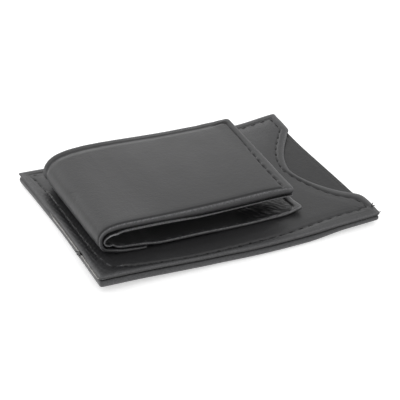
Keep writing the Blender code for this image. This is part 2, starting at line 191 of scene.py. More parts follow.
print("a mid grey, #808080, is", round(linear("#808080")[0], 3), "in linear light")

# %% [markdown]
# The outer leather is smooth cow nappa, dyed through, coloured black on top and finished with a thin
# satin lacquer.  The eye reads it by three things: a pebble grain under a millimetre wide, slow
# changes of sheen where the skin was looser, and paler rubbed places on the turned edges.  The rubbed
# places follow an attribute that each mesh carries, because they belong to the shape.  The same
# attribute and paler colour also paint highlights on rims, beside seams and near one corner.

# %% Smooth black nappa
# Sizes of the patterns in mm: pebbles, the fine skin between them, flecks where the dye is rubbed
# off, and clouds of sheen
GRAIN_WIDTH = 0.55
SKIN_WIDTH = 1.7
FLECK_WIDTH = 0.5
CLOUD_WIDTH = 11.0
CLOUD_TINT = 1.18
CLOUD_SHEEN = 0.03
LACQUER_SPECULAR = 0.42


def leather_material(name, colour, rubbed_colour, roughness, grain_height, grain_width=GRAIN_WIDTH,
                     dullness=0.0):
    """Dyed and lacquered leather with a pebble grain, cloudy sheen and rubbed edges.

    Colour: the dye, paler in the clouds, turns to a paler second colour by the attribute for rubbed
    wear and painted highlights, times a fleck pattern.  Roughness: the clouds raise and lower it a
    little, and where the attribute "polished" is 0, the dullness is added.  Relief: the pebbles' domes,
    with the fine skin on them.
    """
    material, tree, shader = new_material(name)
    place = add_node(tree, "ShaderNodeTexCoord")
    clouds = add_node(tree, "ShaderNodeTexNoise", {"Vector": (place, "Object")},
                      {"Scale": 1 / (CLOUD_WIDTH * MM), "Detail": 3.0, "Roughness": 0.55})
    fine = add_node(tree, "ShaderNodeTexNoise", {"Vector": (place, "Object")},
                    {"Scale": 1 / (SKIN_WIDTH * MM), "Detail": 4.0, "Roughness": 0.6})
    rubbed = add_node(tree, "ShaderNodeAttribute", attribute_name="rubbed")
    specks = add_node(tree, "ShaderNodeTexNoise", {"Vector": (place, "Object")},
                      {"Scale": 1 / (FLECK_WIDTH * MM), "Detail": 5.0, "Roughness": 0.7})
    flecks = add_node(tree, "ShaderNodeMapRange", {"Value": (specks, "Fac")},
                      {"From Min": 0.4, "From Max": 0.7, "To Min": 0.25})
    patchy = add_node(tree, "ShaderNodeMath", {0: (rubbed, "Fac"), 1: (flecks, "Result")},
                      operation="MULTIPLY")
    dyed = add_node(tree, "ShaderNodeMix", {"Factor": (clouds, "Fac")},
                    {"A": linear(colour), "B": shade(colour, CLOUD_TINT)}, data_type="RGBA")
    worn_and_lit = add_node(tree, "ShaderNodeMix", {"Factor": (patchy, "Value"), "A": (dyed, "Result")},
                    {"B": linear(rubbed_colour)}, data_type="RGBA")
    sheen = add_node(tree, "ShaderNodeMapRange", {"Value": (clouds, "Fac")},
                     {"From Min": 0.3, "From Max": 0.7, "To Min": roughness - CLOUD_SHEEN,
                      "To Max": roughness + CLOUD_SHEEN})
    pebbles = add_node(tree, "ShaderNodeTexVoronoi", {"Vector": (place, "Object")},
                       {"Scale": 1 / (grain_width * MM), "Randomness": 0.9}, feature="SMOOTH_F1")
    grain = add_node(tree, "ShaderNodeBump", {"Height": (pebbles, "Distance")},
                     {"Strength": 1.0, "Distance": grain_height * MM}, invert=True)
    skin = add_node(tree, "ShaderNodeBump", {"Height": (fine, "Fac"), "Normal": (grain, "Normal")},
                    {"Strength": 1.0, "Distance": grain_height * 2 * MM})
    polished = add_node(tree, "ShaderNodeAttribute", attribute_name="polished")
    dulled = add_node(tree, "ShaderNodeMapRange", {"Value": (polished, "Fac")},
                      {"To Min": dullness, "To Max": 0.0})
    roughened = add_node(tree, "ShaderNodeMath", {0: (sheen, "Result"), 1: (dulled, "Result")},
                         operation="ADD")
    connect(tree, shader, {"Base Color": (worn_and_lit, "Result"), "Roughness": (roughened, "Value"),
                           "Normal": (skin, "Normal")}, {"Specular IOR Level": LACQUER_SPECULAR})
    return material


# The second, paler colour is that of rubbed dye and also of painted highlights on rims and seams
nappa = leather_material("smooth_black_nappa", "#29292a", "#78787a", 0.43, 0.03)
pocket_nappa = leather_material("unworn_black_nappa", "#1c1c1d", "#d8d6d2", 0.5, 0.04, 0.45)
print("pebbles", GRAIN_WIDTH, "mm wide, clouds", CLOUD_WIDTH, "mm")

# %% [markdown]
# Inside the clip the leather is a thin glossy lining that was never meant to be looked at, so it
# has creased over the magnets.  It gets less grain and more gloss.  The pockets are lined with plain
# woven polyester.  Its weave is finer than the render can show, so it is drawn with bands about six
# threads wide, which still give the soft, matt look of cloth.

# %% Lining leather and lining fabric
WAVE_RATE = 20
WEAVE_HEIGHT = 0.03
WEAVE_SHADE = 0.6
# The lining's second colour is mostly that of a painted highlight along the inner strip's rim
lining = leather_material("glossy_lining_leather", "#1b1b1c", "#8e8e90", 0.3, 0.012, 0.4, 0.45)


def wave_scale(width):
    """Scale of a wave texture whose phase, 20 times the scale times the place, grows by 1 in a width."""
    return 1 / (width * MM) / WAVE_RATE


def fabric_material(name, colour, thread):
    """Plain woven lining: the higher of two sets of bands across each other, each a sine wave."""
    material, tree, shader = new_material(name)
    place = add_node(tree, "ShaderNodeTexCoord")
    warp, weft = (add_node(tree, "ShaderNodeTexWave", {"Vector": (place, "Object")},
                           {"Scale": wave_scale(thread), "Distortion": 0.0},
                           wave_type="BANDS", bands_direction=direction) for direction in "XY")
    weave = add_node(tree, "ShaderNodeMath", {0: (warp, "Fac"), 1: (weft, "Fac")}, operation="MAXIMUM")
    tint = add_node(tree, "ShaderNodeMix", {"Factor": (weave, "Value")},
                    {"A": shade(colour, WEAVE_SHADE), "B": linear(colour)}, data_type="RGBA")
    bump = add_node(tree, "ShaderNodeBump", {"Height": (weave, "Value")},
                    {"Strength": 1.0, "Distance": WEAVE_HEIGHT * MM})
    connect(tree, shader, {"Base Color": (tint, "Result"), "Normal": (bump, "Normal")},
            {"Roughness": 0.8, "Sheen Weight": 0.15})
    return material


fabric = fabric_material("woven_black_lining", "#2a2a2c", 0.35)
print("wave texture of scale", round(wave_scale(0.35), 1), "for threads of 0.35 mm")

# %% [markdown]
# The seams are sewn with bonded polyester thread, three plies twisted together.  Its filaments catch
# the light more than the leather does, so each stitch shows as a small soft highlight.  The board
# that stiffens the clip is pulped leather, and the magnets are plated with nickel, a bright metal.

# %% Thread, board and magnets
PLY_WIDTH = 0.5
PLY_HEIGHT = 0.02
FIBRE_WIDTH = 0.9
FIBRE_HEIGHT = 0.05
HAZE_WIDTH = 1.2


def thread_material():
    """Bonded thread: slanted bands along the stitch stand for the twisted plies."""
    material, tree, shader = new_material("bonded_black_thread")
    place = add_node(tree, "ShaderNodeTexCoord")
    plies = add_node(tree, "ShaderNodeTexWave", {"Vector": (place, "Object")},
                     {"Scale": wave_scale(PLY_WIDTH), "Distortion": 1.5},
                     wave_type="BANDS", bands_direction="DIAGONAL")
    tint = add_node(tree, "ShaderNodeMix", {"Factor": (plies, "Fac")},
                    {"A": linear("#0a0a0b"), "B": linear("#222223")}, data_type="RGBA")
    bump = add_node(tree, "ShaderNodeBump", {"Height": (plies, "Fac")},
                    {"Strength": 1.0, "Distance": PLY_HEIGHT * MM})
    connect(tree, shader, {"Base Color": (tint, "Result"), "Normal": (bump, "Normal")},
            {"Roughness": 0.45})
    return material


def board_material():
    """Leatherboard: scraps of leather pulped and pressed, so short flecks on a brown ground."""
    material, tree, shader = new_material("bonded_leatherboard")
    place = add_node(tree, "ShaderNodeTexCoord")
    flecks = add_node(tree, "ShaderNodeTexNoise", {"Vector": (place, "Object")},
                      {"Scale": 1 / (FIBRE_WIDTH * MM), "Detail": 6.0, "Roughness": 0.7})
    tint = add_node(tree, "ShaderNodeMix", {"Factor": (flecks, "Fac")},
                    {"A": linear("#6b543f"), "B": linear("#a3835f")}, data_type="RGBA")
    bump = add_node(tree, "ShaderNodeBump", {"Height": (flecks, "Fac")},
                    {"Strength": 0.6, "Distance": FIBRE_HEIGHT * MM})
    connect(tree, shader, {"Base Color": (tint, "Result"), "Normal": (bump, "Normal")},
            {"Roughness": 0.85})
    return material


def nickel_material():
    """Nickel plate on a pressed magnet: bright, with a gloss that handling has made hazy in places."""
    material, tree, shader = new_material("nickel_plate")
    place = add_node(tree, "ShaderNodeTexCoord")
    haze = add_node(tree, "ShaderNodeTexNoise", {"Vector": (place, "Object")},
                    {"Scale": 1 / (HAZE_WIDTH * MM), "Detail": 5.0})
    gloss = add_node(tree, "ShaderNodeMapRange", {"Value": (haze, "Fac")},
                     {"To Min": 0.15, "To Max": 0.38})
    connect(tree, shader, {"Roughness": (gloss, "Result")},
            {"Base Color": linear("#cfc9bf"), "Metallic": 1.0})
    return material


thread = thread_material()
board = board_material()
nickel = nickel_material()
print(len(bpy.data.materials), "materials made")

# %% [markdown]
# Every piece of leather here is a sheet with an outline, whose edge is turned and stitched.  So one
# shape serves them all: a closed profile, from the middle of the underside out to the edge, round it
# and back over the top to the middle, carried once round the outline.  Near the edge the profile
# keeps its real distance from it.  Further in, the rings close on a line along the sheet's middle,
# its spine, and their ends are welded there.

# %% Meshes from arrays
WELD = 0.002


def add_piece(name, points, faces, material, **finishes):
    """Make a smooth shaded mesh of points in mm, and weld the places where the arrays meet.

    Each finish is a value at each point, kept as an attribute with the finish's name.
    """
    mesh = bpy.data.meshes.new(name)
    mesh.from_pydata((points.reshape(-1, 3) * MM).tolist(), [], faces.tolist())
    for finish, values in finishes.items():
        layer = mesh.attributes.new(finish, "FLOAT", "POINT")
        layer.data.foreach_set("value", values.ravel().astype(np.float32))
    shape = bmesh.new()
    shape.from_mesh(mesh)
    bmesh.ops.remove_doubles(shape, verts=shape.verts, dist=WELD * MM)
    bmesh.ops.recalc_face_normals(shape, faces=shape.faces)
    shape.to_mesh(mesh)
    shape.free()
    mesh.shade_smooth()
    mesh.materials.append(material)
    obj = bpy.data.objects.new(name, mesh)
    bpy.context.scene.collection.objects.link(obj)
    print(name, len(mesh.polygons), "faces")
    return obj


def grid_faces(rows, columns):
    """Four-cornered faces of a grid of points whose columns close in a ring."""
    row, column = np.mgrid[0:rows - 1, 0:columns]
    after = (column + 1) % columns
    corners = (row * columns + column, row * columns + after,
               (row + 1) * columns + after, (row + 1) * columns + column)
    return np.stack([corner.ravel() for corner in corners], axis=1)


def add_sheet(name, grid, material, **finishes):
    """Make a piece of a grid whose columns close in a ring."""
    return add_piece(name, grid, grid_faces(*grid.shape[:2]), material, **finishes)


print("points closer than", WELD, "mm are welded")

# %% [markdown]
# An outline is a chain of stretches, each a line or a curve with an evenly spaced number of points,
# and between them corners that are rounded by a short curve.  A second outline, a few millimetres
# further in, has as many points on each stretch.  The rings between them lie on the straight lines
# from one to the other.

# %% Outlines
STEP = 0.5
MARGIN = 7.0
CORNER_POINTS = 8


def trimmed(path, start_cut, end_cut, count):
    """Points spaced evenly along a path, after a length is cut off each end of it."""
    reach = np.concatenate([[0], np.cumsum(np.linalg.norm(np.diff(path, axis=0), axis=1))])
    places = np.linspace(start_cut, reach[-1] - end_cut, count)
    return np.stack([np.interp(places, reach, path[:, axis]) for axis in (0, 1)], axis=1)


def rounded_chain(paths, cuts, counts):
    """Join paths end to start in a ring, with each corner rounded.

    A path's cut is the length that its last corner takes.  With a where the first path is cut off,
    b the corner itself, c where the next path starts and s a share from 0 to 1, the rounded corner
    is (1 - s) squared times a, plus 2 s (1 - s) times b, plus s squared times c.
    """
    ring = []
    for index, path in enumerate(paths):
        following = paths[(index + 1) % len(paths)]
        stretch = trimmed(path, cuts[index - 1], cuts[index], counts[index])
        next_start = trimmed(following, cuts[index], 0, 2)[0]
        share = np.linspace(0, 1, CORNER_POINTS + 2)[1:-1, None]
        corner = ((1 - share) ** 2 * stretch[-1] + 2 * share * (1 - share) * path[-1]
                  + share ** 2 * next_start)
        ring += [stretch, corner]
    return np.concatenate(ring)


def polygon_outline(corners, cuts, counts):
    """A polygon's outline with rounded corners, from its corners in anticlockwise order."""
    corners = np.array(corners, float)
    paths = [corners[[side, (side + 1) % len(corners)]] for side in range(len(corners))]
    return rounded_chain(paths, cuts, counts)


def rectangle_outline(x_low, x_high, y_low, y_high, cut, counts):
    """A rectangle's outline, drawn from its front left corner."""
    corners = [(x_low, y_low), (x_high, y_low), (x_high, y_high), (x_low, y_high)]
    return polygon_outline(corners, [cut] * 4, counts)


print("outlines", MARGIN, "mm apart, with a point every", STEP, "mm")

# %% [markdown]
# The profile is a list of rows.  A row says how far in from the edge it lies, how high, and how pale,
# from rubbed dye and painted highlights, and each can change along the outline: the stitches stand
# further in at one side than at another, and the leather is pressed down more where they pull it.

# %% The swept sheet


def ring_at(edge, inner, inset):
    """The ring at an inset in mm on the way from an outline to its inner one."""
    return edge + (inner - edge) * (np.broadcast_to(inset, len(edge)) / MARGIN)[:, None]


def sweep_sheet(edge, inner, spine, rows):
    """Points of a sheet, rows by outline points by three numbers, and how rubbed each one is.

    A row is an inset in mm, a share of the way from there to the spine, a height and a share of
    paleness, from rubbed dye and painted highlights.  The inset moves a point along the line from the
    edge to the inner outline, in proportion.  The share moves it on towards the spine, to the place
    there with the inner outline's x, held between the spine's ends.
    """
    middle = np.stack([np.clip(inner[:, 0], *spine), np.zeros(len(inner))], axis=1)
    grid = np.empty((len(rows), len(edge), 3))
    rubbed = np.empty(grid.shape[:2])
    for index, (inset, share, height, rub) in enumerate(rows):
        near = ring_at(edge, inner, inset)
        grid[index, :, :2] = near + (middle - near) * share
        grid[index, :, 2] = height
        rubbed[index] = rub
    return grid, rubbed


def outline_reach(edge):
    """Length along a closed outline up to each of its points, and the whole length."""
    steps = np.linalg.norm(np.roll(edge, -1, axis=0) - edge, axis=1)
    return np.concatenate([[0], np.cumsum(steps)[:-1]]), steps.sum()


print("sheets are swept round their outlines")

# %% [markdown]
# Leather that was cut and glued by hand is never quite straight.  Each edge gets the sum of three
# slow waves, a tenth of a millimetre high, and the long sides of the case bow out or in by as much as
# they do on the real one.  Then every layer is curled with the wallet.

# %% Unsteady edges and bowed sides
# Waves round an outline, and the share and the start of each
WAVER_WAVES = ((3, 0.45, 1.0), (7, 0.35, 2.3), (17, 0.2, 4.1))


def smooth(value, start, end):
    """Rise from 0 at the start to 1 at the end: with the share s of the way, 3 s s - 2 s s s."""
    share = np.clip((value - start) / (end - start), 0, 1)
    return share * share * (3 - 2 * share)


def waver(reach, length, amount, seed):
    """Unsteadiness of hand work along an edge: three sine waves of unlike lengths that close up."""
    turns = 2 * np.pi * reach / length
    return amount * sum(size * np.sin(count * turns + start * seed)
                        for count, size, start in WAVER_WAVES)


def unsteady(edge, amount, seed):
    """An outline whose points are moved a little along its normals, as a cut by hand is."""
    reach, length = outline_reach(edge)
    along = np.roll(edge, -1, axis=0) - np.roll(edge, 1, axis=0)
    along /= np.linalg.norm(along, axis=1)[:, None]
    outward = np.stack([along[:, 1], -along[:, 0]], axis=1)
    return edge + outward * waver(reach, length, amount, seed)[:, None]


# How much the layers are pressed together, and where that starts and ends along x and against y
SQUEEZE = 0.27
SQUEEZE_X = (22, 38)
SQUEEZE_Y = (16, 34)


def lay_on_case(grid):
    """Curl a grid drawn flat with the wallet, in place.

    Towards the front right corner the layers lie closer together: what is below the case's top is
    drawn up to it.
    """
    x = grid[..., 0]
    y = grid[..., 1]
    closer = SQUEEZE * smooth(x, *SQUEEZE_X) * smooth(-y, *SQUEEZE_Y)
    grid[..., 2] += closer * np.clip(CASE_TOP - grid[..., 2], 0, CASE_TOP) + lift(x, y)
    return grid


# Place along each side and how far its edge bows out there, in mm
FRONT_BOW = ((-50, 0.2), (-38, 0.0), (-28, 0.4), (-18, 0.95), (-8, 1.25), (0, 1.8), (10, 1.95),
             (20, 1.75), (30, 1.3), (40, 0.85), (50, 0.5))
BACK_BOW = ((-50, 0.9), (-42, 0.6), (-34, 0.0))
LEFT_BOW = ((-36, 0.2), (-28, -0.1), (-20, -0.45), (-8, -0.7), (4, -0.7), (14, -0.35), (24, -0.1),
            (30, 0.15), (36, 0.7))
RIGHT_BOW = ((-36, 0.1), (-33, 0.6), (-30, 0.9), (-26, 0.7), (-22, 0.25), (-18, 0.2), (-8, 0.1),
             (2, -0.15), (14, -0.5), (22, -0.3), (30, 0.0))
# Steps at which a bow is read, and how far inside a side the bow starts and is whole, in mm
BOW_STEPS = (-4, -2, 0, 2, 4)
BOW_START = 4.0
BOW_WHOLE = 1.5


def bow_at(place, table):
    """A side's bow at places along it: the mean of five readings of its table, 2 mm apart."""
    places, bows = np.array(table).T
    return np.mean([np.interp(place + step, places, bows) for step in BOW_STEPS], axis=0)


def bowed(edge):
    """An outline whose sides bow out or in, as those of this wallet do.

    A point on a side is moved square to it by the bow there.  A millimetre or so inside the side it
    is moved less, and further in not at all.
    """
    x = edge[:, 0]
    y = edge[:, 1]
    near_x = smooth(np.abs(x), HALF_LENGTH - BOW_START, HALF_LENGTH - BOW_WHOLE)
    near_y = smooth(np.abs(y), HALF_WIDTH - BOW_START, HALF_WIDTH - BOW_WHOLE)
    move_x = near_x * np.where(x < 0, -bow_at(y, LEFT_BOW), bow_at(y, RIGHT_BOW))
    move_y = near_y * np.where(y < 0, -bow_at(x, FRONT_BOW), bow_at(x, BACK_BOW))
    return edge + np.stack([move_x, move_y], axis=1)


print("the front side bows out by up to", max(bow for _, bow in FRONT_BOW), "mm")

# %% [markdown]
# The front leather has a thumb notch in its right edge.  Its curve is fuller than an arc: from the
# deepest place the edge runs out as the share of the half width raised to a power.  The narrow tab
# in front of the notch has been pulled outwards a little.

# %% The notch
NOTCH_POWER = 1.65
NOTCH_DEPTH = 13.3
NOTCH_HALF = 24.0
NOTCH_REACH_SHARE = 1.3
NOTCH_MARKS = 801
NOTCH_REST = HALF_LENGTH - NOTCH_DEPTH
notch_share = np.linspace(-NOTCH_REACH_SHARE, NOTCH_REACH_SHARE, NOTCH_MARKS)
# Points on the case's long and short sides, on the narrow tabs beside the notch and on the notch
LONG_POINTS = 200
SHORT_POINTS = 144
TAB_POINTS = 16
NOTCH_POINTS = 130


def notch_path(inset):
    """The thumb notch from front to back, drawn in by an inset, between the short side's ends.

    Each point of the power curve is moved by the inset along the curve's normal, into the leather.
    """
    path = np.stack([NOTCH_REST + NOTCH_DEPTH * np.abs(notch_share) ** NOTCH_POWER,
                     NOTCH_HALF * notch_share], axis=1)
    along = np.gradient(path, axis=0)
    along /= np.linalg.norm(along, axis=1)[:, None]
    path += inset * np.stack([-along[:, 1], along[:, 0]], axis=1)
    edge = HALF_LENGTH - inset
    half = len(path) // 2
    front = np.interp(-edge, -path[:half, 0], path[:half, 1])
    back = np.interp(edge, path[half:, 0], path[half:, 1])
    inside = path[path[:, 0] < edge]
    return np.concatenate([[[edge, front]], inside, [[edge, back]]])


def notched_outline(inset, rounds):
    """The case's outline with the thumb notch, anticlockwise from the front left corner.

    The rounds are the lengths that the corners take: right front, the notch's front and back end,
    right back, left back and left front.
    """
    x = HALF_LENGTH - inset
    y = HALF_WIDTH - inset
    notch = notch_path(inset)
    corners = np.array([(-x, -y), (x, -y), (x, y), (-x, y)])
    paths = [corners[[0, 1]], np.array([corners[1], notch[0]]), notch,
             np.array([notch[-1], corners[2]]), corners[[2, 3]], corners[[3, 0]]]
    return rounded_chain(paths, rounds, [LONG_POINTS, TAB_POINTS, NOTCH_POINTS, TAB_POINTS,
                                         LONG_POINTS, SHORT_POINTS])


CASE_ROUNDS = (1.7, 2.0, 1.0, 0.9, 0.4, 0.9)
INNER_ROUNDS = (0.5, 0.5, 0.5, 0.5, 1.5, 5.0)
EDGE_WAVER = 0.1
# How far the front tab is pulled out, and where that starts and is whole along x and against y
TAB_PULL = 0.6
TAB_PULL_X = (42, 50)
TAB_PULL_Y = (15, 24)
case_edge = bowed(unsteady(notched_outline(0, CASE_ROUNDS), EDGE_WAVER, 1))
case_edge[:, 0] += (TAB_PULL * smooth(case_edge[:, 0], *TAB_PULL_X)
                    * smooth(-case_edge[:, 1], *TAB_PULL_Y))
case_inner = notched_outline(MARGIN, INNER_ROUNDS)
print("notch", NOTCH_DEPTH, "mm deep; outline of", len(case_edge), "points")

# %% [markdown]
# A few millimetres from the edge runs the seam.  The thread pulls the leather into a shallow valley,
# and between stitches the leather rises again a little, which makes the puckers.  The seam stands
# nearer to the edge in the middle of the front than at its ends, as it does where a machine follows
# an edge by eye.

# %% Where the seam runs
STITCH_PITCH = 3.9
# Place along each side and the seam's inset there, in mm
SEAM_FRONT = ((-50, 4.1), (-43, 3.7), (-37, 3.1), (-23, 2.35), (-15, 2.3), (2, 2.95), (15, 3.35),
              (26, 4.1), (38, 4.7), (43, 4.9), (50, 4.4))
SEAM_LEFT = ((-30, 3.9), (-8, 3.6), (22, 4.0), (34, 3.5))
SEAM_RIGHT = ((-34, 2.0), (-26, 2.7), (-22, 3.9), (-16, 3.1), (-10, 2.4), (-5, 1.7), (0, 1.9),
              (5, 2.5), (13, 3.0), (21, 3.2))
SEAM_BACK = 3.2
# How far from a corner one side's inset turns into the next one's
SEAM_CORNER = 4.0
# How much more, and from how far, the seam cuts across the front left corner
SEAM_CUT = 0.7
SEAM_CUT_START = 9.0
SEAM_WAVER = 0.12
# Between these values of the stitch's wave, which runs from -1 to 1, the leather is drawn down
PUCKER_RANGE = (-0.75, 0.1)


def seam_inset_along(edge):
    """Inset of the seam at each point of the case's outline.

    Each side has its own insets, and near a corner one side's value turns into the next one's.  At
    the front left corner the seam cuts across a little more.
    """
    x = edge[:, 0]
    y = edge[:, 1]
    front = smooth(-y, HALF_WIDTH - SEAM_CORNER, HALF_WIDTH)
    back = smooth(y, HALF_WIDTH - SEAM_CORNER, HALF_WIDTH)
    side = np.where(x < 0, bow_at(y, SEAM_LEFT), bow_at(y, SEAM_RIGHT))
    corner_place = HALF_LENGTH + HALF_WIDTH
    corner = SEAM_CUT * smooth(-x - y, corner_place - SEAM_CUT_START, corner_place)
    return side + front * (bow_at(x, SEAM_FRONT) - side) + back * (SEAM_BACK - side) + corner


def whole_pitch(length, pitch):
    """The pitch nearest to a wanted one that goes into a closed outline a whole number of times."""
    return length / round(length / pitch)


def pucker_along(reach, pitch):
    """How far the leather is drawn down along a seam: 1 beside a stitch, 0 between two of them.

    It is minus the cosine of one turn for each stitch, with its top and its foot flattened.
    """
    return smooth(-np.cos(2 * np.pi * reach / pitch), *PUCKER_RANGE)


seam_inset = seam_inset_along(case_edge) + waver(*outline_reach(case_edge), SEAM_WAVER, 1)
case_reach, case_length = outline_reach(ring_at(case_edge, case_inner, seam_inset))
case_pitch = whole_pitch(case_length, STITCH_PITCH)
pucker = pucker_along(case_reach, case_pitch)
print("seam of", round(case_length), "mm, a stitch every", round(case_pitch, 2), "mm")

# %% [markdown]
# The front leather is one sheet with its edge turned under and glued down.  From the edge inwards it
# has a round rim, a margin that is a little domed, the valley of the seam, and then the plain skin.
# The machine pulled harder in some places than in others, so the shape of the edge is worked out
# first, as one value for each point of the outline.

# %% How the seam draws the leather down
# Depths in mm: the pinch presses down the whole edge, partly beside the seam alone and partly as a
# wide dip in the middle of the front, and the seam's valley lies in it
PINCH = 0.45
NARROW_SHARE = 0.35
WIDE_SHARE = 0.65
VALLEY = 0.42
CROWN_HEIGHT = 0.27
NOTCH_FALL = 0.25
# Where the zones of the edge start and are whole, in mm: along x, along y or against them
SIDE_BAND = 3.0
DIP_WIDTH = 12.0
NOTCH_X = (30, 36)
DEEP_NOTCH_Y = (3, 12)
LEFT_FRONT_Y = (-22, -12)
BACK_LEFT_X = (26, 36)
WEAR_WHOLE = 1.0
WEAR_Y = (-16, 2)
edge_x, edge_y = case_edge.T
front_middle = (smooth(-edge_y, HALF_WIDTH - DIP_WIDTH, HALF_WIDTH)
                * (1 - np.clip(edge_x / HALF_LENGTH, -1, 1) ** 2))
near_back = smooth(edge_y, HALF_WIDTH - SIDE_BAND, HALF_WIDTH)
near_front = smooth(-edge_y, HALF_WIDTH - SIDE_BAND, HALF_WIDTH)
at_left = smooth(-edge_x, HALF_LENGTH - SIDE_BAND, HALF_LENGTH)
at_notch = smooth(edge_x, *NOTCH_X) * (1 - near_back) * (1 - near_front)
deep_notch = smooth(edge_y, *DEEP_NOTCH_Y) * smooth(edge_x, *NOTCH_X) * (1 - near_back)
left_front = at_left * smooth(-edge_y, *LEFT_FRONT_Y)
back_left = near_back * smooth(-edge_x, *BACK_LEFT_X)
edge_wear = (smooth(-edge_x, HALF_LENGTH - SIDE_BAND, HALF_LENGTH - WEAR_WHOLE)
             * smooth(-edge_y, *WEAR_Y))

# Each bare number here is a share: how much more or less a zone has of something
notch_fall = NOTCH_FALL * at_notch
seam_evenness = 0.6 + 0.37 * near_back + 0.1 * deep_notch - 0.45 * left_front
seam_depth = VALLEY * (1 - 0.7 * np.maximum(left_front, near_back) - 0.2 * at_left * (1 - left_front)
                       - 0.2 * back_left)
crown_height = CROWN_HEIGHT * (1 - 0.5 * at_left) * (1 - 0.7 * at_notch) * (1 - 0.7 * near_back)
seam_draw = seam_evenness + (1 - seam_evenness) * pucker
narrow_pinch = -PINCH * NARROW_SHARE
wide_pinch = -PINCH * WIDE_SHARE * front_middle
pinch = narrow_pinch + wide_pinch
print("the seam lies", round(seam_depth.min(), 2), "to", round(seam_depth.max(), 2), "mm deep")

# %% [markdown]
# Where leather is turned, its edge is round, and the top of the round is what hands and pockets rub.
# Half an ellipse gives the round, and rows on it carry how much dye is gone.  The lacquer also
# cracks into fine creases where the margin was bent over the hem.

# %% Rim and margin of the front leather
RIM_ROWS = 11
RIM_RUB = 0.6
RIM_RADIUS = 0.5
WEAR_TURNS = (-60, -10)
UNDER_RIM = 1.6
RIM_PRESS = 0.45
MARGIN_RUB = 0.4
FRONT_HEM = 5.0
HEM_STEP = 0.1
FRONT_SKIN = 0.7
# Share of the margin's width, and how much of a crease lies there
MARGIN_FOLDS = ((0.15, 0), (0.3, 0), (0.42, 0.5), (0.5, 1), (0.58, 0.5), (0.7, 0), (0.8, 0.6),
                (0.88, 0.2))
# Depth of a crease, the margin's width at which it is that deep, and what rim and valley take of it
RIM_CREASE = 0.09
CREASED_MARGIN = 2.4
RIM_AND_VALLEY = 1.05
# Offset from the seam and share of the valley's depth
VALLEY_SHAPE = ((-0.5, 0.12), (-0.32, 0.5), (-0.15, 0.95), (0.0, 1.0), (0.15, 0.95), (0.32, 0.5),
                (0.5, 0.15), (0.8, 0.02))
VALLEY_SPREAD = 0.55
# Between these offsets, at the left, the leather gets flecks of painted highlight where it rises
# between stitches
FLECK_OFFSETS = (0.1, 0.4)
BRIDGE_HIGHLIGHT = 0.9
DIP_FADE = 0.3
INWARD_SHARES = (0.05, 0.1, 0.17, 0.25, 0.35, 0.46, 0.58, 0.7, 0.82, 0.92, 1.0)


def rolled_rim(floor, top, radius_in, wear=0.0):
    """Rows round a rolled edge, from its underside to its top, as half an ellipse.

    With the turn from -90 to 90 degrees, the inset is the inward radius times 1 minus the turn's
    cosine, and the height is the middle plus half the height times its sine.  The top is rubbed a
    little everywhere, and where there is wear, a line below it is rubbed bare.
    """
    middle = (floor + top) / 2
    half = (top - floor) / 2
    rows = []
    for turn in np.linspace(-90, 90, RIM_ROWS):
        angle = math.radians(turn)
        rubbed = RIM_RUB * max(0.0, math.sin(angle)) + wear * (WEAR_TURNS[0] < turn < WEAR_TURNS[1])
        rows.append((radius_in * (1 - math.cos(angle)), 0, middle + half * math.sin(angle), rubbed))
    return rows


rim_creases = 0.5 + waver(*outline_reach(case_edge), 0.5, 7)


def front_rows():
    """Rows of the front leather, from the underside's spine to the top's spine.

    Heights count from the case's top.  The rim is half an ellipse, the margin a low crown, the
    seam's valley is deeper at each stitch, and behind it the leather rises to its full height.
    """
    floor = -FRONT_THICKNESS
    plate = -FRONT_SKIN
    rows = [(MARGIN, share, plate, 0) for share in (1.0, 0.5, 0.0)]
    rows += [(FRONT_HEM + HEM_STEP, 0, plate, 0), (FRONT_HEM, 0, floor, 0), (UNDER_RIM, 0, floor, 0)]
    rows += rolled_rim(floor, RIM_PRESS * pinch - notch_fall, RIM_RADIUS, edge_wear)
    margin_width = seam_inset - RIM_AND_VALLEY
    for share, fold in MARGIN_FOLDS:
        crown = (crown_height * math.sin(math.pi * share) - notch_fall * (1 - share) ** 1.5
                 - RIM_CREASE * fold * rim_creases * margin_width / CREASED_MARGIN)
        rows.append((RIM_RADIUS + margin_width * share, 0,
                     crown + pinch * (RIM_PRESS + RIM_PRESS * share), MARGIN_RUB * (1 - share) ** 2))
    for offset, depth in VALLEY_SHAPE:
        # Painted highlights fleck the leather at the left where it rises between stitches
        flecked = left_front * (1 - pucker) * (FLECK_OFFSETS[0] < offset < FLECK_OFFSETS[1])
        rows.append((seam_inset + offset * (1 + VALLEY_SPREAD * near_back), 0,
                     pinch - seam_depth * depth * seam_draw, BRIDGE_HIGHLIGHT * flecked))
    inside = seam_inset + VALLEY_SHAPE[-1][0]
    for share in (0.25, 0.5, 0.75, 1.0):
        rows.append((inside + (MARGIN - inside) * share, 0,
                     narrow_pinch * (1 - smooth(share, 0, 1)) + wide_pinch * (1 - DIP_FADE * share), 0))
    rows += [(MARGIN, share, wide_pinch * (1 - DIP_FADE) * (1 - share) ** 2, 0)
             for share in INWARD_SHARES]
    return rows


print(len(front_rows()), "rows round the front leather's edge")

# %% [markdown]
# The tabs beside the notch hold only by their seam, so they have curled off the pocket.  Beside the
# seam at the left the skin has gathered into small wrinkles, and towards the corner at the back right
# a painted highlight makes the skin paler.  All three are heights or shares added to the flat sheet.

# %% Front leather
# How far the tabs stand off the pocket, in mm, and where that starts and is whole
TAB_CURL = 0.75
TAB_X = (34, 49)
TAB_BACK_Y = (17, 31)
# The front tab's share of it, where it starts, and where it ends again
TAB_FRONT_SHARE = 0.3
TAB_FRONT_Y = (12, 23)
TAB_FRONT_END_Y = (26, 36)
# Height of the wrinkles, their waves as radians per mm along x and y and a start, and their zone
WRINKLE_HEIGHT = 0.028
WRINKLE_WAVES = ((4.3, 1.1, 0.0), (-2.3, 3.1, 1.0), (1.7, 5.2, 2.0))
WRINKLE_START_X = (41, 44)
WRINKLE_END_X = (47.5, 49)
WRINKLE_END_Y = (20, 30)
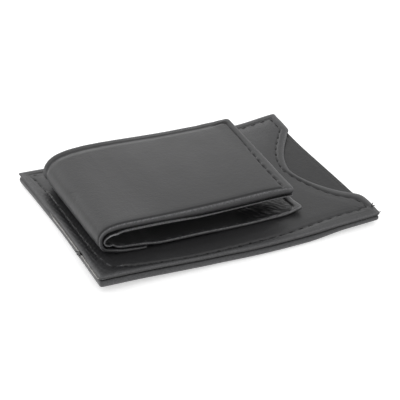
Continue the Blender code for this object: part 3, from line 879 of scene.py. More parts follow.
# Only what lies higher than this under the case's top, in mm, is wrinkled
WRINKLE_FLOOR = -0.65
# A painted highlight towards the back right corner: its share, and where it starts and is whole
CORNER_HIGHLIGHT = 0.2
CORNER_HIGHLIGHT_X = (22, 34)
CORNER_HIGHLIGHT_Y = (14, 26)
CASE_SPINE = (-14.0, 9.0)


def tab_curl(x, y):
    """How far the two narrow tabs beside the notch stand off the pocket, in mm.

    It is the curl times a rise along x, times the sum of a rise towards the back and a smaller hump
    towards the front.
    """
    back = smooth(y, *TAB_BACK_Y)
    front = TAB_FRONT_SHARE * smooth(-y, *TAB_FRONT_Y) * (1 - smooth(-y, *TAB_FRONT_END_Y))
    return TAB_CURL * smooth(x, *TAB_X) * (back + front)


def wrinkles(x, y):
    """Small wrinkles beside the seam at the left, in mm: three sine waves across each other."""
    waves = sum(np.sin(along_x * x + along_y * y + start) for along_x, along_y, start in WRINKLE_WAVES)
    beside_seam = (smooth(-x, *WRINKLE_START_X) * (1 - smooth(-x, *WRINKLE_END_X))
                   * (1 - smooth(y, *WRINKLE_END_Y)))
    return WRINKLE_HEIGHT * waves * beside_seam


front_grid, front_rubbed = sweep_sheet(case_edge, case_inner, CASE_SPINE, front_rows())
front_x, front_y = front_grid[..., 0], front_grid[..., 1]
front_grid[..., 2] += (CASE_TOP + tab_curl(front_x, front_y)
                       + wrinkles(front_x, front_y) * (front_grid[..., 2] > WRINKLE_FLOOR))
# Towards the back right corner the skin is made paler as a painted highlight
front_rubbed += CORNER_HIGHLIGHT * smooth(front_x, *CORNER_HIGHLIGHT_X) * smooth(front_y, *CORNER_HIGHLIGHT_Y)
front_leather = add_sheet("front_leather", lay_on_case(front_grid), nappa, rubbed=front_rubbed)
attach(front_leather, "case")
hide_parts("front_panel")

# %% [markdown]
# The back leather is folded round the card slots: from the top of the pocket it turns down at the
# edge and in again underneath, where it ends as a hem five millimetres wide.  The fold shows as the
# lower band of the wallet's side.

# %% Back leather
BACK_SKIN = 0.4
BACK_WALL = 0.6
BACK_HEM = 5.0
BACK_HEM_SKIN = 0.35
UPPER_BEND = 0.3
LOWER_BEND = 0.2
CUT_SWELL = 0.12
CUT_FLAT = 0.5
HEM_WAVER = 0.1
# The fold's foot is lumpy: its mean height and as much up and down, in mm
LUMP = 0.16
UNDER_GROOVE = 0.16
UNDER_GROOVE_SHAPE = ((0.35, 0.1), (0.18, 0.8), (0.0, 1.0), (-0.18, 0.8), (-0.35, 0.1))
# Inset, height over the table, share of the lumps and how rubbed, from the hem up the outside
BACK_OUTSIDE = (
    (1.2, 0.0, 0.0, 0.0), (0.72, 0.03, 0.0, 0.2), (0.4, 0.12, 0.5, 0.6), (0.15, 0.3, 1.0, 0.9),
    (0.03, 0.65, 1.0, 0.7), (-0.04, 1.2, 0.0, 0.5), (-0.02, 1.75, 0.0, 0.4), (0.06, 2.15, 0.0, 0.3),
    (0.22, 2.42, 0.0, 0.3), (0.5, 2.56, 0.0, 0.3))
TOP_INSETS = (0.9, 2.0, 4.0, MARGIN)
PLATE_SHARES = (0.15, 0.3, 0.45, 0.6, 0.8, 1.0)


def back_rows(reach, length, under_inset):
    """Rows of the back leather: its plate's underside, the fold's inside, the hem, and the outside.

    Heights count from the table.  The hem has a groove where the seam's underside lies.  The
    outside bulges out a little at half its height.
    """
    top = back_high[2]
    plate = top - BACK_SKIN
    rows = [(MARGIN, share, plate, 0) for share in (1.0, 0.5, 0.0)]
    rows += [(BACK_WALL + UPPER_BEND, 0, plate, 0), (BACK_WALL, 0, plate - UPPER_BEND, 0),
             (BACK_WALL, 0, BACK_HEM_SKIN + LOWER_BEND, 0),
             (BACK_WALL + UPPER_BEND, 0, BACK_HEM_SKIN, 0)]
    hem = BACK_HEM + waver(reach, length, HEM_WAVER, 2)
    lump = LUMP + waver(reach, length, LUMP, 5)
    rows += [(hem, 0, BACK_HEM_SKIN, 0), (hem + CUT_SWELL, 0, BACK_HEM_SKIN / 2, 0.3),
             (hem, 0, 0.0, 0.2), (hem - CUT_FLAT, 0, 0.0, 0)]
    rows += [(under_inset + offset, 0, UNDER_GROOVE * share, 0) for offset, share in UNDER_GROOVE_SHAPE]
    rows += [(inset, 0, height + lump_share * lump, rub)
             for inset, height, lump_share, rub in BACK_OUTSIDE]
    rows += [(inset, 0, top, 0) for inset in TOP_INSETS]
    rows += [(MARGIN, share, top, 0) for share in PLATE_SHARES]
    return rows


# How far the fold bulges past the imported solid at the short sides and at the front, in mm
BULGE_X = 0.25
BULGE_FRONT = 0.15
BACK_WAVER = 0.15
BACK_CORNER = 0.7
BACK_INNER_CORNER = 1.6
UNDER_INSETS = (2.0, 3.9)
CASE_COUNTS = [LONG_POINTS, SHORT_POINTS] * 2
back_low, back_high = solid_box("back_panel")
back_edge = rectangle_outline(back_low[0] - BULGE_X, back_high[0] + BULGE_X,
                              back_low[1] - BULGE_FRONT, back_high[1], BACK_CORNER, CASE_COUNTS)
back_edge = bowed(unsteady(back_edge, BACK_WAVER, 2))
back_inner = rectangle_outline(back_low[0] + MARGIN, back_high[0] - MARGIN, back_low[1] + MARGIN,
                               back_high[1] - MARGIN, BACK_INNER_CORNER, CASE_COUNTS)
under_inset = np.clip(seam_inset_along(back_edge), *UNDER_INSETS)
back_grid, back_rubbed = sweep_sheet(back_edge, back_inner, CASE_SPINE,
                                     back_rows(*outline_reach(back_edge), under_inset))
back_leather = add_sheet("back_leather", lay_on_case(back_grid), nappa, rubbed=back_rubbed)
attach(back_leather, "case")
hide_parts("back_panel")

# %% [markdown]
# Between the two lie thin flat sheets: the pocket's far wall, which the thumb notch lays open, and
# the card slots with their linings.  They are all the same plain sheet, made from the box of the
# solid that they stand for.  Only the rim is rounded, and a slot's mouth has a creased line beside
# it, pressed with a hot tool so that the edge lies flat.

# %% Thin flat sheets
SHEET_RIM = 0.3
SHEET_UNDER = 3.0
SHEET_CORNER = 0.8
SHEET_INNER_CORNER = 1.5
POINTS_PER_MM = 1.5
# Inset and depth of the creased line, and its rows: offset, share of the depth and how rubbed
CREASE_INSET = 1.4
CREASE_DEPTH = 0.09
CREASE_WIDTH = 1.5
CREASE_SHAPE = ((-0.4, 0.0, 0.05), (-0.2, 0.5, 0), (0.0, 1.0, 0), (0.2, 0.5, 0), (0.4, 0.0, 0))
# How far the raw edge sticks out and swells, and where it starts and is whole, from the left side
# and against y
RAW_EDGE = 0.95
RAW_SWELL = 0.12
RAW_START = 2.0
RAW_WHOLE = 1.0
RAW_Y = (-14, -4)


def flat_rows(low, high, crease, raw=0.0):
    """Rows of a plain sheet with a round rim, and a creased line where the crease share is 1.

    Where the raw share is 1, the rim has no dye, as where a sheet was cut after it was dyed.
    """
    rim = min(SHEET_RIM, (high - low))
    swell = RAW_SWELL * raw
    rows = [(MARGIN, share, low, 0) for share in (1.0, 0.6, 0.3, 0.0)] + [(SHEET_UNDER, 0, low, 0)]
    rows += [(inset, share, height, raw)
             for inset, share, height, _ in rolled_rim(low - swell, high + swell, rim)]
    rows += [(CREASE_INSET + offset, 0, high - CREASE_DEPTH * depth * crease, rub * crease)
             for offset, depth, rub in CREASE_SHAPE]
    rows += [(inset, 0, high, 0) for inset in (SHEET_UNDER, MARGIN)]
    rows += [(MARGIN, share, high, 0) for share in PLATE_SHARES]
    return rows


def flat_sheet(name, node, material, creased_side=None, turn_over=False, growth=0.0):
    """A thin sheet in the place of a packed one, curled with the rest of the wallet.

    The growth is how far its raw left edge sticks out of the seam, in mm.  The sheet lies askew, so
    its front edge is as much too short.
    """
    low, high = solid_box(node)
    counts = [int((high[0] - low[0]) * POINTS_PER_MM), int((high[1] - low[1]) * POINTS_PER_MM)] * 2
    edge = rectangle_outline(low[0], high[0], low[1] + growth, high[1], SHEET_CORNER, counts)
    raw = ((growth > 0) * smooth(-edge[:, 0], HALF_LENGTH - RAW_START, HALF_LENGTH - RAW_WHOLE)
           * smooth(-edge[:, 1], *RAW_Y))
    edge[:, 0] -= growth * raw
    inner = rectangle_outline(low[0] + MARGIN, high[0] - MARGIN, low[1] + MARGIN, high[1] - MARGIN,
                              SHEET_INNER_CORNER, counts)
    crease = np.zeros(len(edge))
    if creased_side == "back":
        crease = smooth(edge[:, 1], high[1] - CREASE_WIDTH, high[1])
    if creased_side == "right":
        crease = smooth(edge[:, 0], high[0] - CREASE_WIDTH, high[0])
    edge = bowed(edge)
    middle = (low[1] + high[1]) / 2
    edge[:, 1] -= middle
    inner[:, 1] -= middle
    half = (high[0] - low[0]) / 2 - (high[1] - low[1]) / 2
    grid, rubbed = sweep_sheet(edge, inner, (-half, half), flat_rows(low[2], high[2], crease, raw))
    grid[..., 1] += middle
    if turn_over:
        grid[..., 2] = low[2] + high[2] - grid[..., 2]
    piece = add_sheet(name, lay_on_case(grid), material, rubbed=rubbed)
    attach(piece, "case")
    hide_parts(node)


flat_sheet("pocket_wall", "pocket_lining", pocket_nappa, "right", growth=RAW_EDGE)
flat_sheet("upper_card_slot", "upper_slot_panel", nappa, "back", True)
flat_sheet("lower_card_slot", "lower_slot_panel", nappa, "back", True)
flat_sheet("upper_card_slot_lining", "upper_slot_lining", fabric)
flat_sheet("lower_card_slot_lining", "lower_slot_lining", fabric)

# %% [markdown]
# The lining behind the front leather has the notch in it too, so it is the notched outline drawn in
# to where the hem ends.

# %% Front lining
HEM_GAP = 0.25
LINING_PULL = 0.1
lining_inset = FRONT_HEM + HEM_GAP
lining_low, lining_high = solid_box("front_lining")
lining_edge = case_edge + (case_inner - case_edge) * lining_inset / MARGIN
spine_middle = np.array([np.array(CASE_SPINE).mean(), 0.0])
lining_inner = case_inner * (1 - LINING_PULL) + spine_middle * LINING_PULL
front_lining_grid, front_lining_rubbed = sweep_sheet(
    lining_edge, lining_inner, CASE_SPINE, flat_rows(lining_low[2], lining_high[2], 0))
front_lining = add_sheet("pocket_front_lining", lay_on_case(front_lining_grid), fabric,
                         rubbed=front_lining_rubbed)
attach(front_lining, "case")
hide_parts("front_lining")

# %% [markdown]
# The clip is one long strip, so it is drawn flat first, as it was cut on the bench, and then laid
# along its course: under the fold, round it and out over the notes.  The course is a smooth line
# through a few measured places, each with its distance from the fold's outermost face and its height
# over the case.  Across it the strip keeps its width, and its thickness is laid off along the
# course's normal.

# %% Courses of the clip
FOLD_FACE = solid_box("fold_cover")[0][0]
COURSE_STEP = 0.25
# Points from one place to the next, and how many of the even steps a mean is taken over
COURSE_SHARES = 40
COURSE_MEAN = 9


def smooth_course(places):
    """A smooth course through places, and the places' other columns spread along it.

    Between two places it is a cubic whose direction at each place is that of the line between its
    two neighbours.  It is then measured off in even steps, and a moving mean takes out what is left
    of the kinks.
    """
    table = np.array(places, float)
    points = table[:, :2]
    before = np.concatenate([[2 * points[0] - points[1]], points[:-1]])[:-1]
    after = np.concatenate([points[1:], [2 * points[-1] - points[-2]]])[1:]
    start = points[:-1]
    end = points[1:]
    share = np.linspace(0, 1, COURSE_SHARES, endpoint=False)[None, :, None]
    before, after, start, end = (item[:, None, :] for item in (before, after, start, end))
    curve = 0.5 * (2 * start + (end - before) * share
                   + (2 * before - 5 * start + 4 * end - after) * share ** 2
                   + (3 * start - before - 3 * end + after) * share ** 3)
    curve = np.concatenate([curve.reshape(-1, 2), points[-1:]])
    reach = np.concatenate([[0], np.cumsum(np.linalg.norm(np.diff(curve, axis=0), axis=1))])
    marks = np.append(reach[:-1:COURSE_SHARES], reach[-1])
    length = reach[-1]
    places_along = np.linspace(0, length, int(length / COURSE_STEP))
    even = np.stack([np.interp(places_along, reach, curve[:, axis]) for axis in (0, 1)], axis=1)
    padded = np.pad(even, ((COURSE_MEAN // 2, COURSE_MEAN // 2), (0, 0)), mode="edge")
    weights = np.ones(COURSE_MEAN) / COURSE_MEAN
    mean = np.stack([np.convolve(padded[:, axis], weights, "valid") for axis in (0, 1)], axis=1)
    mean[0], mean[-1] = even[0], even[-1]
    others = [np.interp(places_along, marks, table[:, column]) for column in range(2, table.shape[1])]
    return places_along, mean, others


def lay_along(course, grid, flip):
    """Lay a flat grid along a course: its x becomes a length along it and its z a height off it.

    The outward normal is the course's direction turned by a quarter, to the side away from the
    notes.  Past either end of the course the last direction goes on.  The course is that of the
    front edge.  Towards the back edge it is shifted and raised by the rest of the course's columns.
    """
    along, points, shift, rise = course
    back_share = 0.5 + grid[..., 1] / (2 * CLIP_HALF)
    direction = np.gradient(points, axis=0)
    direction /= np.linalg.norm(direction, axis=1)[:, None]
    place = np.clip(grid[..., 0], along[0], along[-1])
    beyond = grid[..., 0] - place
    x, z = (np.interp(place, along, points[:, axis]) for axis in (0, 1))
    dx, dz = (np.interp(place, along, direction[:, axis]) for axis in (0, 1))
    laid = np.empty_like(grid)
    laid[..., 0] = (FOLD_FACE + x + dx * beyond - flip * dz * grid[..., 2]
                    + back_share * np.interp(place, along, shift))
    laid[..., 1] = grid[..., 1]
    laid[..., 2] = (CASE_TOP + z + dz * beyond + flip * dx * grid[..., 2]
                    + back_share * np.interp(place, along, rise))
    return lay_on_case(laid)


# Distance from the fold's face, height over the case, shift and rise of the back edge, rim's depth
LEATHER_PLACES = (
    (16.8, 0.12, 0.0, 0.0, 0.8), (12.0, 0.15, 0.0, 0.0, 1.05), (7.5, 0.5, 0.0, 0.0, 1.2),
    (4.6, 1.2, 0.0, 0.0, 1.2), (2.4, 1.75, 0.05, 0.0, 1.2), (1.0, 2.6, 0.1, 0.0, 1.25),
    (0.3, 3.9, 0.15, 0.0, 1.3), (-0.05, 5.5, 0.3, 0.05, 1.35), (0.05, 7.1, 0.55, 0.15, 1.35),
    (0.8, 8.75, 0.75, 0.2, 1.4), (2.9, 10.25, 0.7, 0.5, 1.7),
    (5.8, 11.0, 0.45, 0.8, 1.9), (9.5, 11.25, 0.2, 1.25, 2.0), (15.0, 11.2, 0.0, 1.65, 2.0),
    (21.0, 11.15, 0.0, 1.65, 2.05), (27.0, 11.15, 0.0, 1.4, 2.4), (34.5, 11.2, 0.0, 0.9, 2.85),
    (46.0, 11.4, 0.0, 0.0, 3.1), (57.5, 11.6, 0.0, -0.7, 3.25), (64.5, 11.2, 0.0, -0.4, 2.8),
    (69.8, 10.3, 0.0, 0.5, 2.2))
leather_along, leather_points, (*leather_turn, leather_rim) = smooth_course(LEATHER_PLACES)
leather_course = (leather_along, leather_points, *leather_turn)
LEATHER_LENGTH = leather_along[-1]
print("outer strip", round(LEATHER_LENGTH, 1), "mm long")

# %% [markdown]
# The outer strip has a turned edge as well, deeper where the stiffening board lies behind it.  Its
# seam lies in a groove: near the long edges the leather falls away outside it, and at the free end
# it leaves a flat band.  So the outline and the groove are worked out before the rows.

# %% Outline and groove of the outer strip
# How far the free end reaches past the course, and how much more at the back edge than in the middle
END_REACH = 0.6
END_SKEW = 0.8
STRIP_WAVER = 0.07
STRIP_ROUNDS = [1.4, 1.4, 1.4, 1.4]
STRIP_INNER_ROUNDS = [1.4, 2.5, 2.5, 1.4]
STRIP_PITCH = 4.05
# Inset of the groove at the front and back edge, and at the free end as place and inset
GROOVE_FRONT = 1.05
GROOVE_BACK = 3.0
GROOVE_END = ((-25, 4.0), (-10, 4.0), (-2, 3.6), (6, 3.2), (12, 2.9), (25, 2.7))
GROOVE_WAVER = 0.06
GROOVE_DEPTH = 0.5
# Width of the band in which the long edges turn into the free end, and of that at the back edge
END_TURN = 3.2
BACK_BAND = 1.5
# How far the leather falls outside the groove at the back edge
BACK_FALL = 0.25
# Where the free end's seam gets uneven, against y, and where the tail is no longer rubbed, along x
UNEVEN_Y = (-12, 4)
TAIL_X = (9, 17)


def strip_outline(inset, rounds):
    """The outer strip's outline drawn in by an inset, with its free end a little askew."""
    half = CLIP_HALF - inset
    end = strip_end - inset
    corners = [(inset, -half), (end - END_SKEW, -half), (end + END_SKEW, half), (inset, half)]
    return polygon_outline(corners, rounds, STRIP_COUNTS)


strip_end = LEATHER_LENGTH + END_REACH
STRIP_COUNTS = [int(LEATHER_LENGTH / STEP), int(2 * CLIP_HALF / STEP)] * 2
strip_edge = unsteady(strip_outline(0, STRIP_ROUNDS), STRIP_WAVER, 4)
strip_inner = strip_outline(MARGIN, STRIP_INNER_ROUNDS)
strip_x, strip_y = strip_edge.T
at_end = np.clip((strip_x - strip_end + END_SKEW) / END_TURN + 1, 0, 1)
at_back = smooth(strip_y, CLIP_HALF - BACK_BAND, CLIP_HALF) * (1 - at_end)
side_groove = np.where(strip_y < 0, GROOVE_FRONT, GROOVE_BACK)
groove = side_groove + (bow_at(strip_y, GROOVE_END) - side_groove) * at_end
groove = groove + waver(*outline_reach(strip_edge), GROOVE_WAVER, 3)
strip_reach, strip_length = outline_reach(ring_at(strip_edge, strip_inner, groove))
strip_pitch = whole_pitch(strip_length, STRIP_PITCH)
rim_fall = BACK_FALL * at_back
strip_rim = np.interp(strip_x, leather_along, leather_rim)

# Each bare number here is a share, as at the case's edge
strip_pucker = pucker_along(strip_reach, strip_pitch) ** (1 + 3 * at_end)
groove_depth = GROOVE_DEPTH * (1 + 0.7 * at_end - 0.45 * at_back)
groove_width = 1 + 0.6 * at_end + 1.3 * at_back
inward_width = groove_width * (1 + 0.6 * at_back)
groove_evenness = 0.93 - 0.58 * at_end * smooth(-strip_y, *UNEVEN_Y)
groove_draw = groove_evenness + (1 - groove_evenness) * strip_pucker
tail_rub = 0.7 * (1 - smooth(strip_x, *TAIL_X))
print("the strip's seam is", round(strip_length), "mm round, a stitch every", round(strip_pitch, 2), "mm")

# %% [markdown]
# The rim is a tall roll, because leather, board and lining are all inside it.  Its top leans inwards
# and runs out at the groove, where the rub of hands and a painted highlight along the crest end too.

# %% Rows of the outer strip
STRIP_SKIN = 1.2
STRIP_HEM = 3.6
STRIP_HEM_STEP = 0.3
STRIP_UNDER_RIM = 2.0
# Inset and share of the rim's depth, round the roll from its underside to its top, and how pale it is:
# rubbed, and at the crest also a painted highlight
ROLL_SHAPE = (
    (0.8, 1.0, 0.0), (0.46, 0.97, 0.0), (0.22, 0.9, 0.0), (0.07, 0.8, 0.0), (0.0, 0.67, 0.0),
    (0.0, 0.52, 0.05), (0.05, 0.38, 0.2), (0.14, 0.26, 0.45), (0.26, 0.17, 0.85), (0.4, 0.105, 0.9),
    (0.55, 0.07, 0.3))
# Between these shares of the rim's depth the tail is rubbed
TAIL_SHARES = (0.75, 0.98)
# From the roll's top to the groove: share of the way, and how much of the top's depth is left
ROLL_TO_GROOVE = ((0.4, 0.68), (0.8, 0.36))
# Offset from the middle of the groove and share of its depth
GROOVE_SHAPE = ((-0.36, 0.1), (-0.24, 0.5), (-0.11, 0.95), (0.0, 1.0), (0.11, 0.95), (0.24, 0.5),
                (0.36, 0.1), (0.62, 0.0))
# The back edge's fall ends between these offsets
FALL_OFFSETS = (-0.24, 0.62)


def strip_rows():
    """Rows of the outer strip.  Heights count from its outer face.

    Underneath, the bare skin reaches in from the middle to the hem.  The hem goes down to the
    rim's depth.  Outside, the rim is a tall roll that leans in towards its top.
    """
    rows = [(MARGIN, share, -STRIP_SKIN, 0) for share in (1.0, 0.8, 0.6, 0.4, 0.2, 0.0)]
    rows += [(STRIP_HEM + STRIP_HEM_STEP, 0, -STRIP_SKIN, 0), (STRIP_HEM, 0, -strip_rim, 0),
             (STRIP_UNDER_RIM, 0, -strip_rim, 0)]
    rows += [(inset, 0, -strip_rim * share, rub + tail_rub * (TAIL_SHARES[0] < share < TAIL_SHARES[1]))
             for inset, share, rub in ROLL_SHAPE]
    top_inset, top_share = ROLL_SHAPE[-1][:2]
    to_groove = groove + GROOVE_SHAPE[0][0] * groove_width - top_inset
    rows += [(top_inset + to_groove * share, 0, -strip_rim * top_share * left - rim_fall * share, 0)
             for share, left in ROLL_TO_GROOVE]
    for offset, depth in GROOVE_SHAPE:
        fall = rim_fall * (1 - smooth(offset, *FALL_OFFSETS))
        rows.append((groove + offset * (groove_width if offset < 0 else inward_width), 0,
                     -groove_depth * depth * groove_draw - fall, 0))
    inside = groove + GROOVE_SHAPE[-1][0] * inward_width
    rows += [(inside + (MARGIN - inside) * share, 0, 0.0, 0) for share in (0.3, 0.6, 1.0)]
    rows += [(MARGIN, share, 0.0, 0) for share in INWARD_SHARES]
    return rows


print(len(strip_rows()), "rows round the outer strip's edge")

# %% [markdown]
# Where the strip turns into the fold, a line across it is rubbed, and over the board the flap is a
# little domed.  Both are added to the flat sheet, which is then laid along its course.

# %% Outer strip of the clip
# How far from the tail and from the free end the line along the strip's middle begins and ends
SPINE_FROM_TAIL = 18.5
SPINE_FROM_END = 26.0
# Height of the flap's dome, where it starts and is whole, and how far from the free end it ends
DOME = 0.45
DOME_START = (38, 52)
DOME_END = 12.0
# How rubbed the line across the fold is, its place along the strip and its half width
FOLD_RUB = 0.3
FOLD_RUB_PLACE = 17.9
FOLD_RUB_WIDTH = 1.3
STRIP_SPINE = (MARGIN + SPINE_FROM_TAIL, LEATHER_LENGTH - SPINE_FROM_END)
strip_grid, strip_rubbed = sweep_sheet(strip_edge, strip_inner, STRIP_SPINE, strip_rows())
along_strip = strip_grid[..., 0]
on_flap = (smooth(along_strip, *DOME_START)
           * (1 - smooth(along_strip, LEATHER_LENGTH - DOME_END, LEATHER_LENGTH)))
strip_grid[..., 2] += DOME * on_flap * (1 - (strip_grid[..., 1] / CLIP_HALF) ** 2)
strip_rubbed += FOLD_RUB * np.exp(-((along_strip - FOLD_RUB_PLACE) / FOLD_RUB_WIDTH) ** 2)
clip_leather = add_sheet("clip_leather", lay_along(leather_course, strip_grid, 1), nappa,
                         rubbed=strip_rubbed)
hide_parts("clip_tail", "fold_cover", "flap_cover")

# %% [markdown]
# The inner strip starts under the flap's free end, runs back round the inside of the fold and out
# again as the long lower leg.  In the fold, where it is pressed together, it has buckled a little.

# %% Course of the inner strip
# Distance from the fold's face, height of its outer side over the case, shift and rise of the back
# edge, thickness at the edge and in the middle
LINING_PLACES = (
    (69.4, 7.95, 0.0, 0.2, 0.55, 0.5), (64.0, 8.2, 0.0, -0.6, 0.55, 0.5),
    (58.0, 8.3, 0.0, -1.1, 0.55, 0.5), (46.0, 8.2, 0.0, -0.4, 0.6, 0.5),
    (35.0, 8.25, 0.0, 0.45, 0.85, 0.5), (29.0, 8.7, 0.0, 0.85, 1.1, 0.6),
    (22.5, 9.05, 0.0, 1.2, 1.2, 0.7), (16.0, 9.15, 0.0, 1.35, 1.2, 0.7), (9.5, 9.05, 0.2, 1.1, 1.1, 0.7),
    (5.6, 8.6, 0.4, 0.9, 0.9, 0.7), (2.75, 7.5, 0.6, 0.6, 0.7, 0.7), (1.4, 6.2, 0.55, 0.3, 0.7, 0.7),
    (1.3, 5.1, 0.45, 0.1, 0.7, 0.7), (2.1, 4.0, 0.3, 0.0, 0.7, 0.7), (3.8, 3.1, 0.15, 0.0, 0.7, 0.7),
    (6.3, 2.5, 0.0, 0.0, 0.7, 0.7), (9.3, 2.1, 0.0, 0.0, 0.7, 0.7), (12.0, 1.9, 0.0, 0.0, 0.75, 0.7),
    (14.4, 1.6, 0.0, 0.0, 0.8, 0.7), (16.8, 1.4, 0.0, 0.0, 0.8, 0.8), (19.0, 0.95, 0.0, 0.0, 0.8, 0.8),
    (22.5, 0.7, 0.0, 0.0, 0.85, 0.85), (30.0, 0.66, 0.0, 0.0, 0.9, 0.9),
    (38.0, 0.5, 0.0, 0.0, 0.95, 1.0), (45.0, 0.2, 0.0, 0.0, 0.95, 1.25),
    (53.0, 0.04, 0.0, 0.0, 0.9, 1.5), (62.0, 0.05, 0.0, 0.0, 0.9, 1.5),
    (69.0, 0.08, 0.0, 0.0, 0.9, 1.45), (73.3, 0.25, 0.0, 0.0, 1.0, 1.0))
LINING_GROWTH = 0.05
LINING_ROUND = 1.6
lining_along, lining_points, (*lining_turn, lining_edge_depth, lining_depth) = (
    smooth_course(LINING_PLACES))
lining_course = (lining_along, lining_points, *lining_turn)
LINING_LENGTH = lining_along[-1]
LINING_HALF = CLIP_HALF + LINING_GROWTH
LINING_COUNTS = [int(LINING_LENGTH / STEP), int(2 * CLIP_HALF / STEP)] * 2
inner_strip_edge = rectangle_outline(0, LINING_LENGTH, -LINING_HALF, LINING_HALF, LINING_ROUND,
                                     LINING_COUNTS)
inner_strip_inner = rectangle_outline(MARGIN, LINING_LENGTH - MARGIN, MARGIN - LINING_HALF,
                                      LINING_HALF - MARGIN, LINING_ROUND, LINING_COUNTS)
print("inner strip", round(LINING_LENGTH, 1), "mm long")

# %% [markdown]
# Over the magnets the thin glossy skin has pulled into fine creases, which run all ways.  Ridges made
# of folded waves look like that once slower waves push them about.  The leg's front corner has also
# curled up by a millimetre, with its stitches.

# %% Creases, buckles and the leg's curl
# Waves that push the creases along x and y: size in mm, radians per mm along x and y, and a start
PUSH_X = ((1.3, 0.31, 0.55, 0.0), (0.6, -0.7, 1.3, 0.0))
PUSH_Y = ((1.1, 0.62, 0.0, 1.0), (0.7, 1.1, 0.4, 0.0))
# The folded waves, with a share for a size, and the power that makes their ridges narrow
CREASE_WAVES = ((0.55, 1.9, 1.1, 0.0), (0.45, 1.2, -2.3, 2.0))
CREASE_POWER = 1.5
# Place along the inner strip, height and half width of each small buckle by the fold, in mm
BUCKLES = ((73.9, 0.75, 1.2), (63.6, 0.35, 1.2))
BUCKLE_BAND = 5.0
LEG_CURL = 1.0
LEG_CURL_REACH = 8.0


def creases(x, y):
    """Creases of a glossy skin over the magnets, from 0 to 1.

    Folded waves, one minus the size of a sine, run across each other.  Their places are pushed to
    and fro by slower waves, so that no crease is straight.
    """
    push_x, push_y = (start + sum(size * np.sin(along_x * x + along_y * y + phase)
                                  for size, along_x, along_y, phase in table)
                      for start, table in ((x, PUSH_X), (y, PUSH_Y)))
    folds = [share * (1 - np.abs(np.sin(along_x * push_x + along_y * push_y + phase))) ** CREASE_POWER
             for share, along_x, along_y, phase in CREASE_WAVES]
    return np.clip(sum(folds), 0, 1)


def buckle(along, y):
    """Height of the buckles, in mm: bell curves along the strip that fade towards the back."""
    bells = sum(size * np.exp(-((along - place) / width) ** 2) for place, size, width in BUCKLES)
    return bells * smooth(-y, LINING_HALF - BUCKLE_BAND, LINING_HALF)


def leg_curl(along, y):
    """How far the leg's front corner has curled up, in mm."""
    return (LEG_CURL * smooth(along, LINING_LENGTH - LEG_CURL_REACH, LINING_LENGTH)
            * smooth(-y, LINING_HALF - LEG_CURL_REACH, LINING_HALF))


print("the leg's corner curls up by", LEG_CURL, "mm")

# %% [markdown]
# The strip's rim is its bare cut edge, round, a little rubbed, and paler with a painted highlight.  Its
# seam lies near the edge, further in and deeper at the leg's end.

# %% Rows of the inner strip
LINING_GROOVE = 1.35
LINING_GROOVE_DEPTH = 0.14
# How much further in and deeper the groove is at the leg's end, and over how far it gets so
LEG_GROOVE_MORE = 1.25
LEG_DEPTH_MORE = 0.45
LEG_TURN = 2.5
LINING_RIM_ROWS = 9
LINING_RIM_ROUND = 0.45
# How far the rim's underside stands off the leather
LINING_UNDER = 0.08
LINING_UNDER_INSET = 3.0
# Inset at which the rim ends on top, and how pale its painted highlight is there
LINING_TOP = (0.65, 0.3)
# Offset from the groove's middle and share of its depth
LINING_GROOVE_SHAPE = ((-0.5, 0.0), (-0.25, 0.6), (0.0, 1.0), (0.25, 0.6), (0.6, 0.0), (1.3, 0.0))
LINING_SHARES = (0.1, 0.25, 0.4, 0.6, 0.8, 1.0)
MIDDLE_ROWS = 26
# Where the leg starts along the strip, and where in the fold the rim's painted highlight is brightest
LEG_X = (70, 78)
FOLD_START_X = (62, 64.5)
FOLD_END_X = (67, 69)
# How pale the leg's rim is all over, and how much more at its top as a painted highlight, and the
# painted highlight on the flap's rim, strongest on its outward face
LEG_RIM_WEAR_AND_HIGHLIGHT = (0.12, 0.88)
FLAP_RIM_HIGHLIGHT = 0.8
LINING_SPINE_INSET = 18.3
inner_x = inner_strip_edge[:, 0]
at_leg_end = np.clip((inner_x - LINING_LENGTH) / LEG_TURN + 1, 0, 1)
lining_groove = LINING_GROOVE + LEG_GROOVE_MORE * at_leg_end
lining_groove_depth = LINING_GROOVE_DEPTH + LEG_DEPTH_MORE * at_leg_end
lining_rim = np.interp(inner_x, lining_along, lining_edge_depth)
LINING_SPINE = (MARGIN + LINING_SPINE_INSET, LINING_LENGTH - MARGIN - LINING_SPINE_INSET)


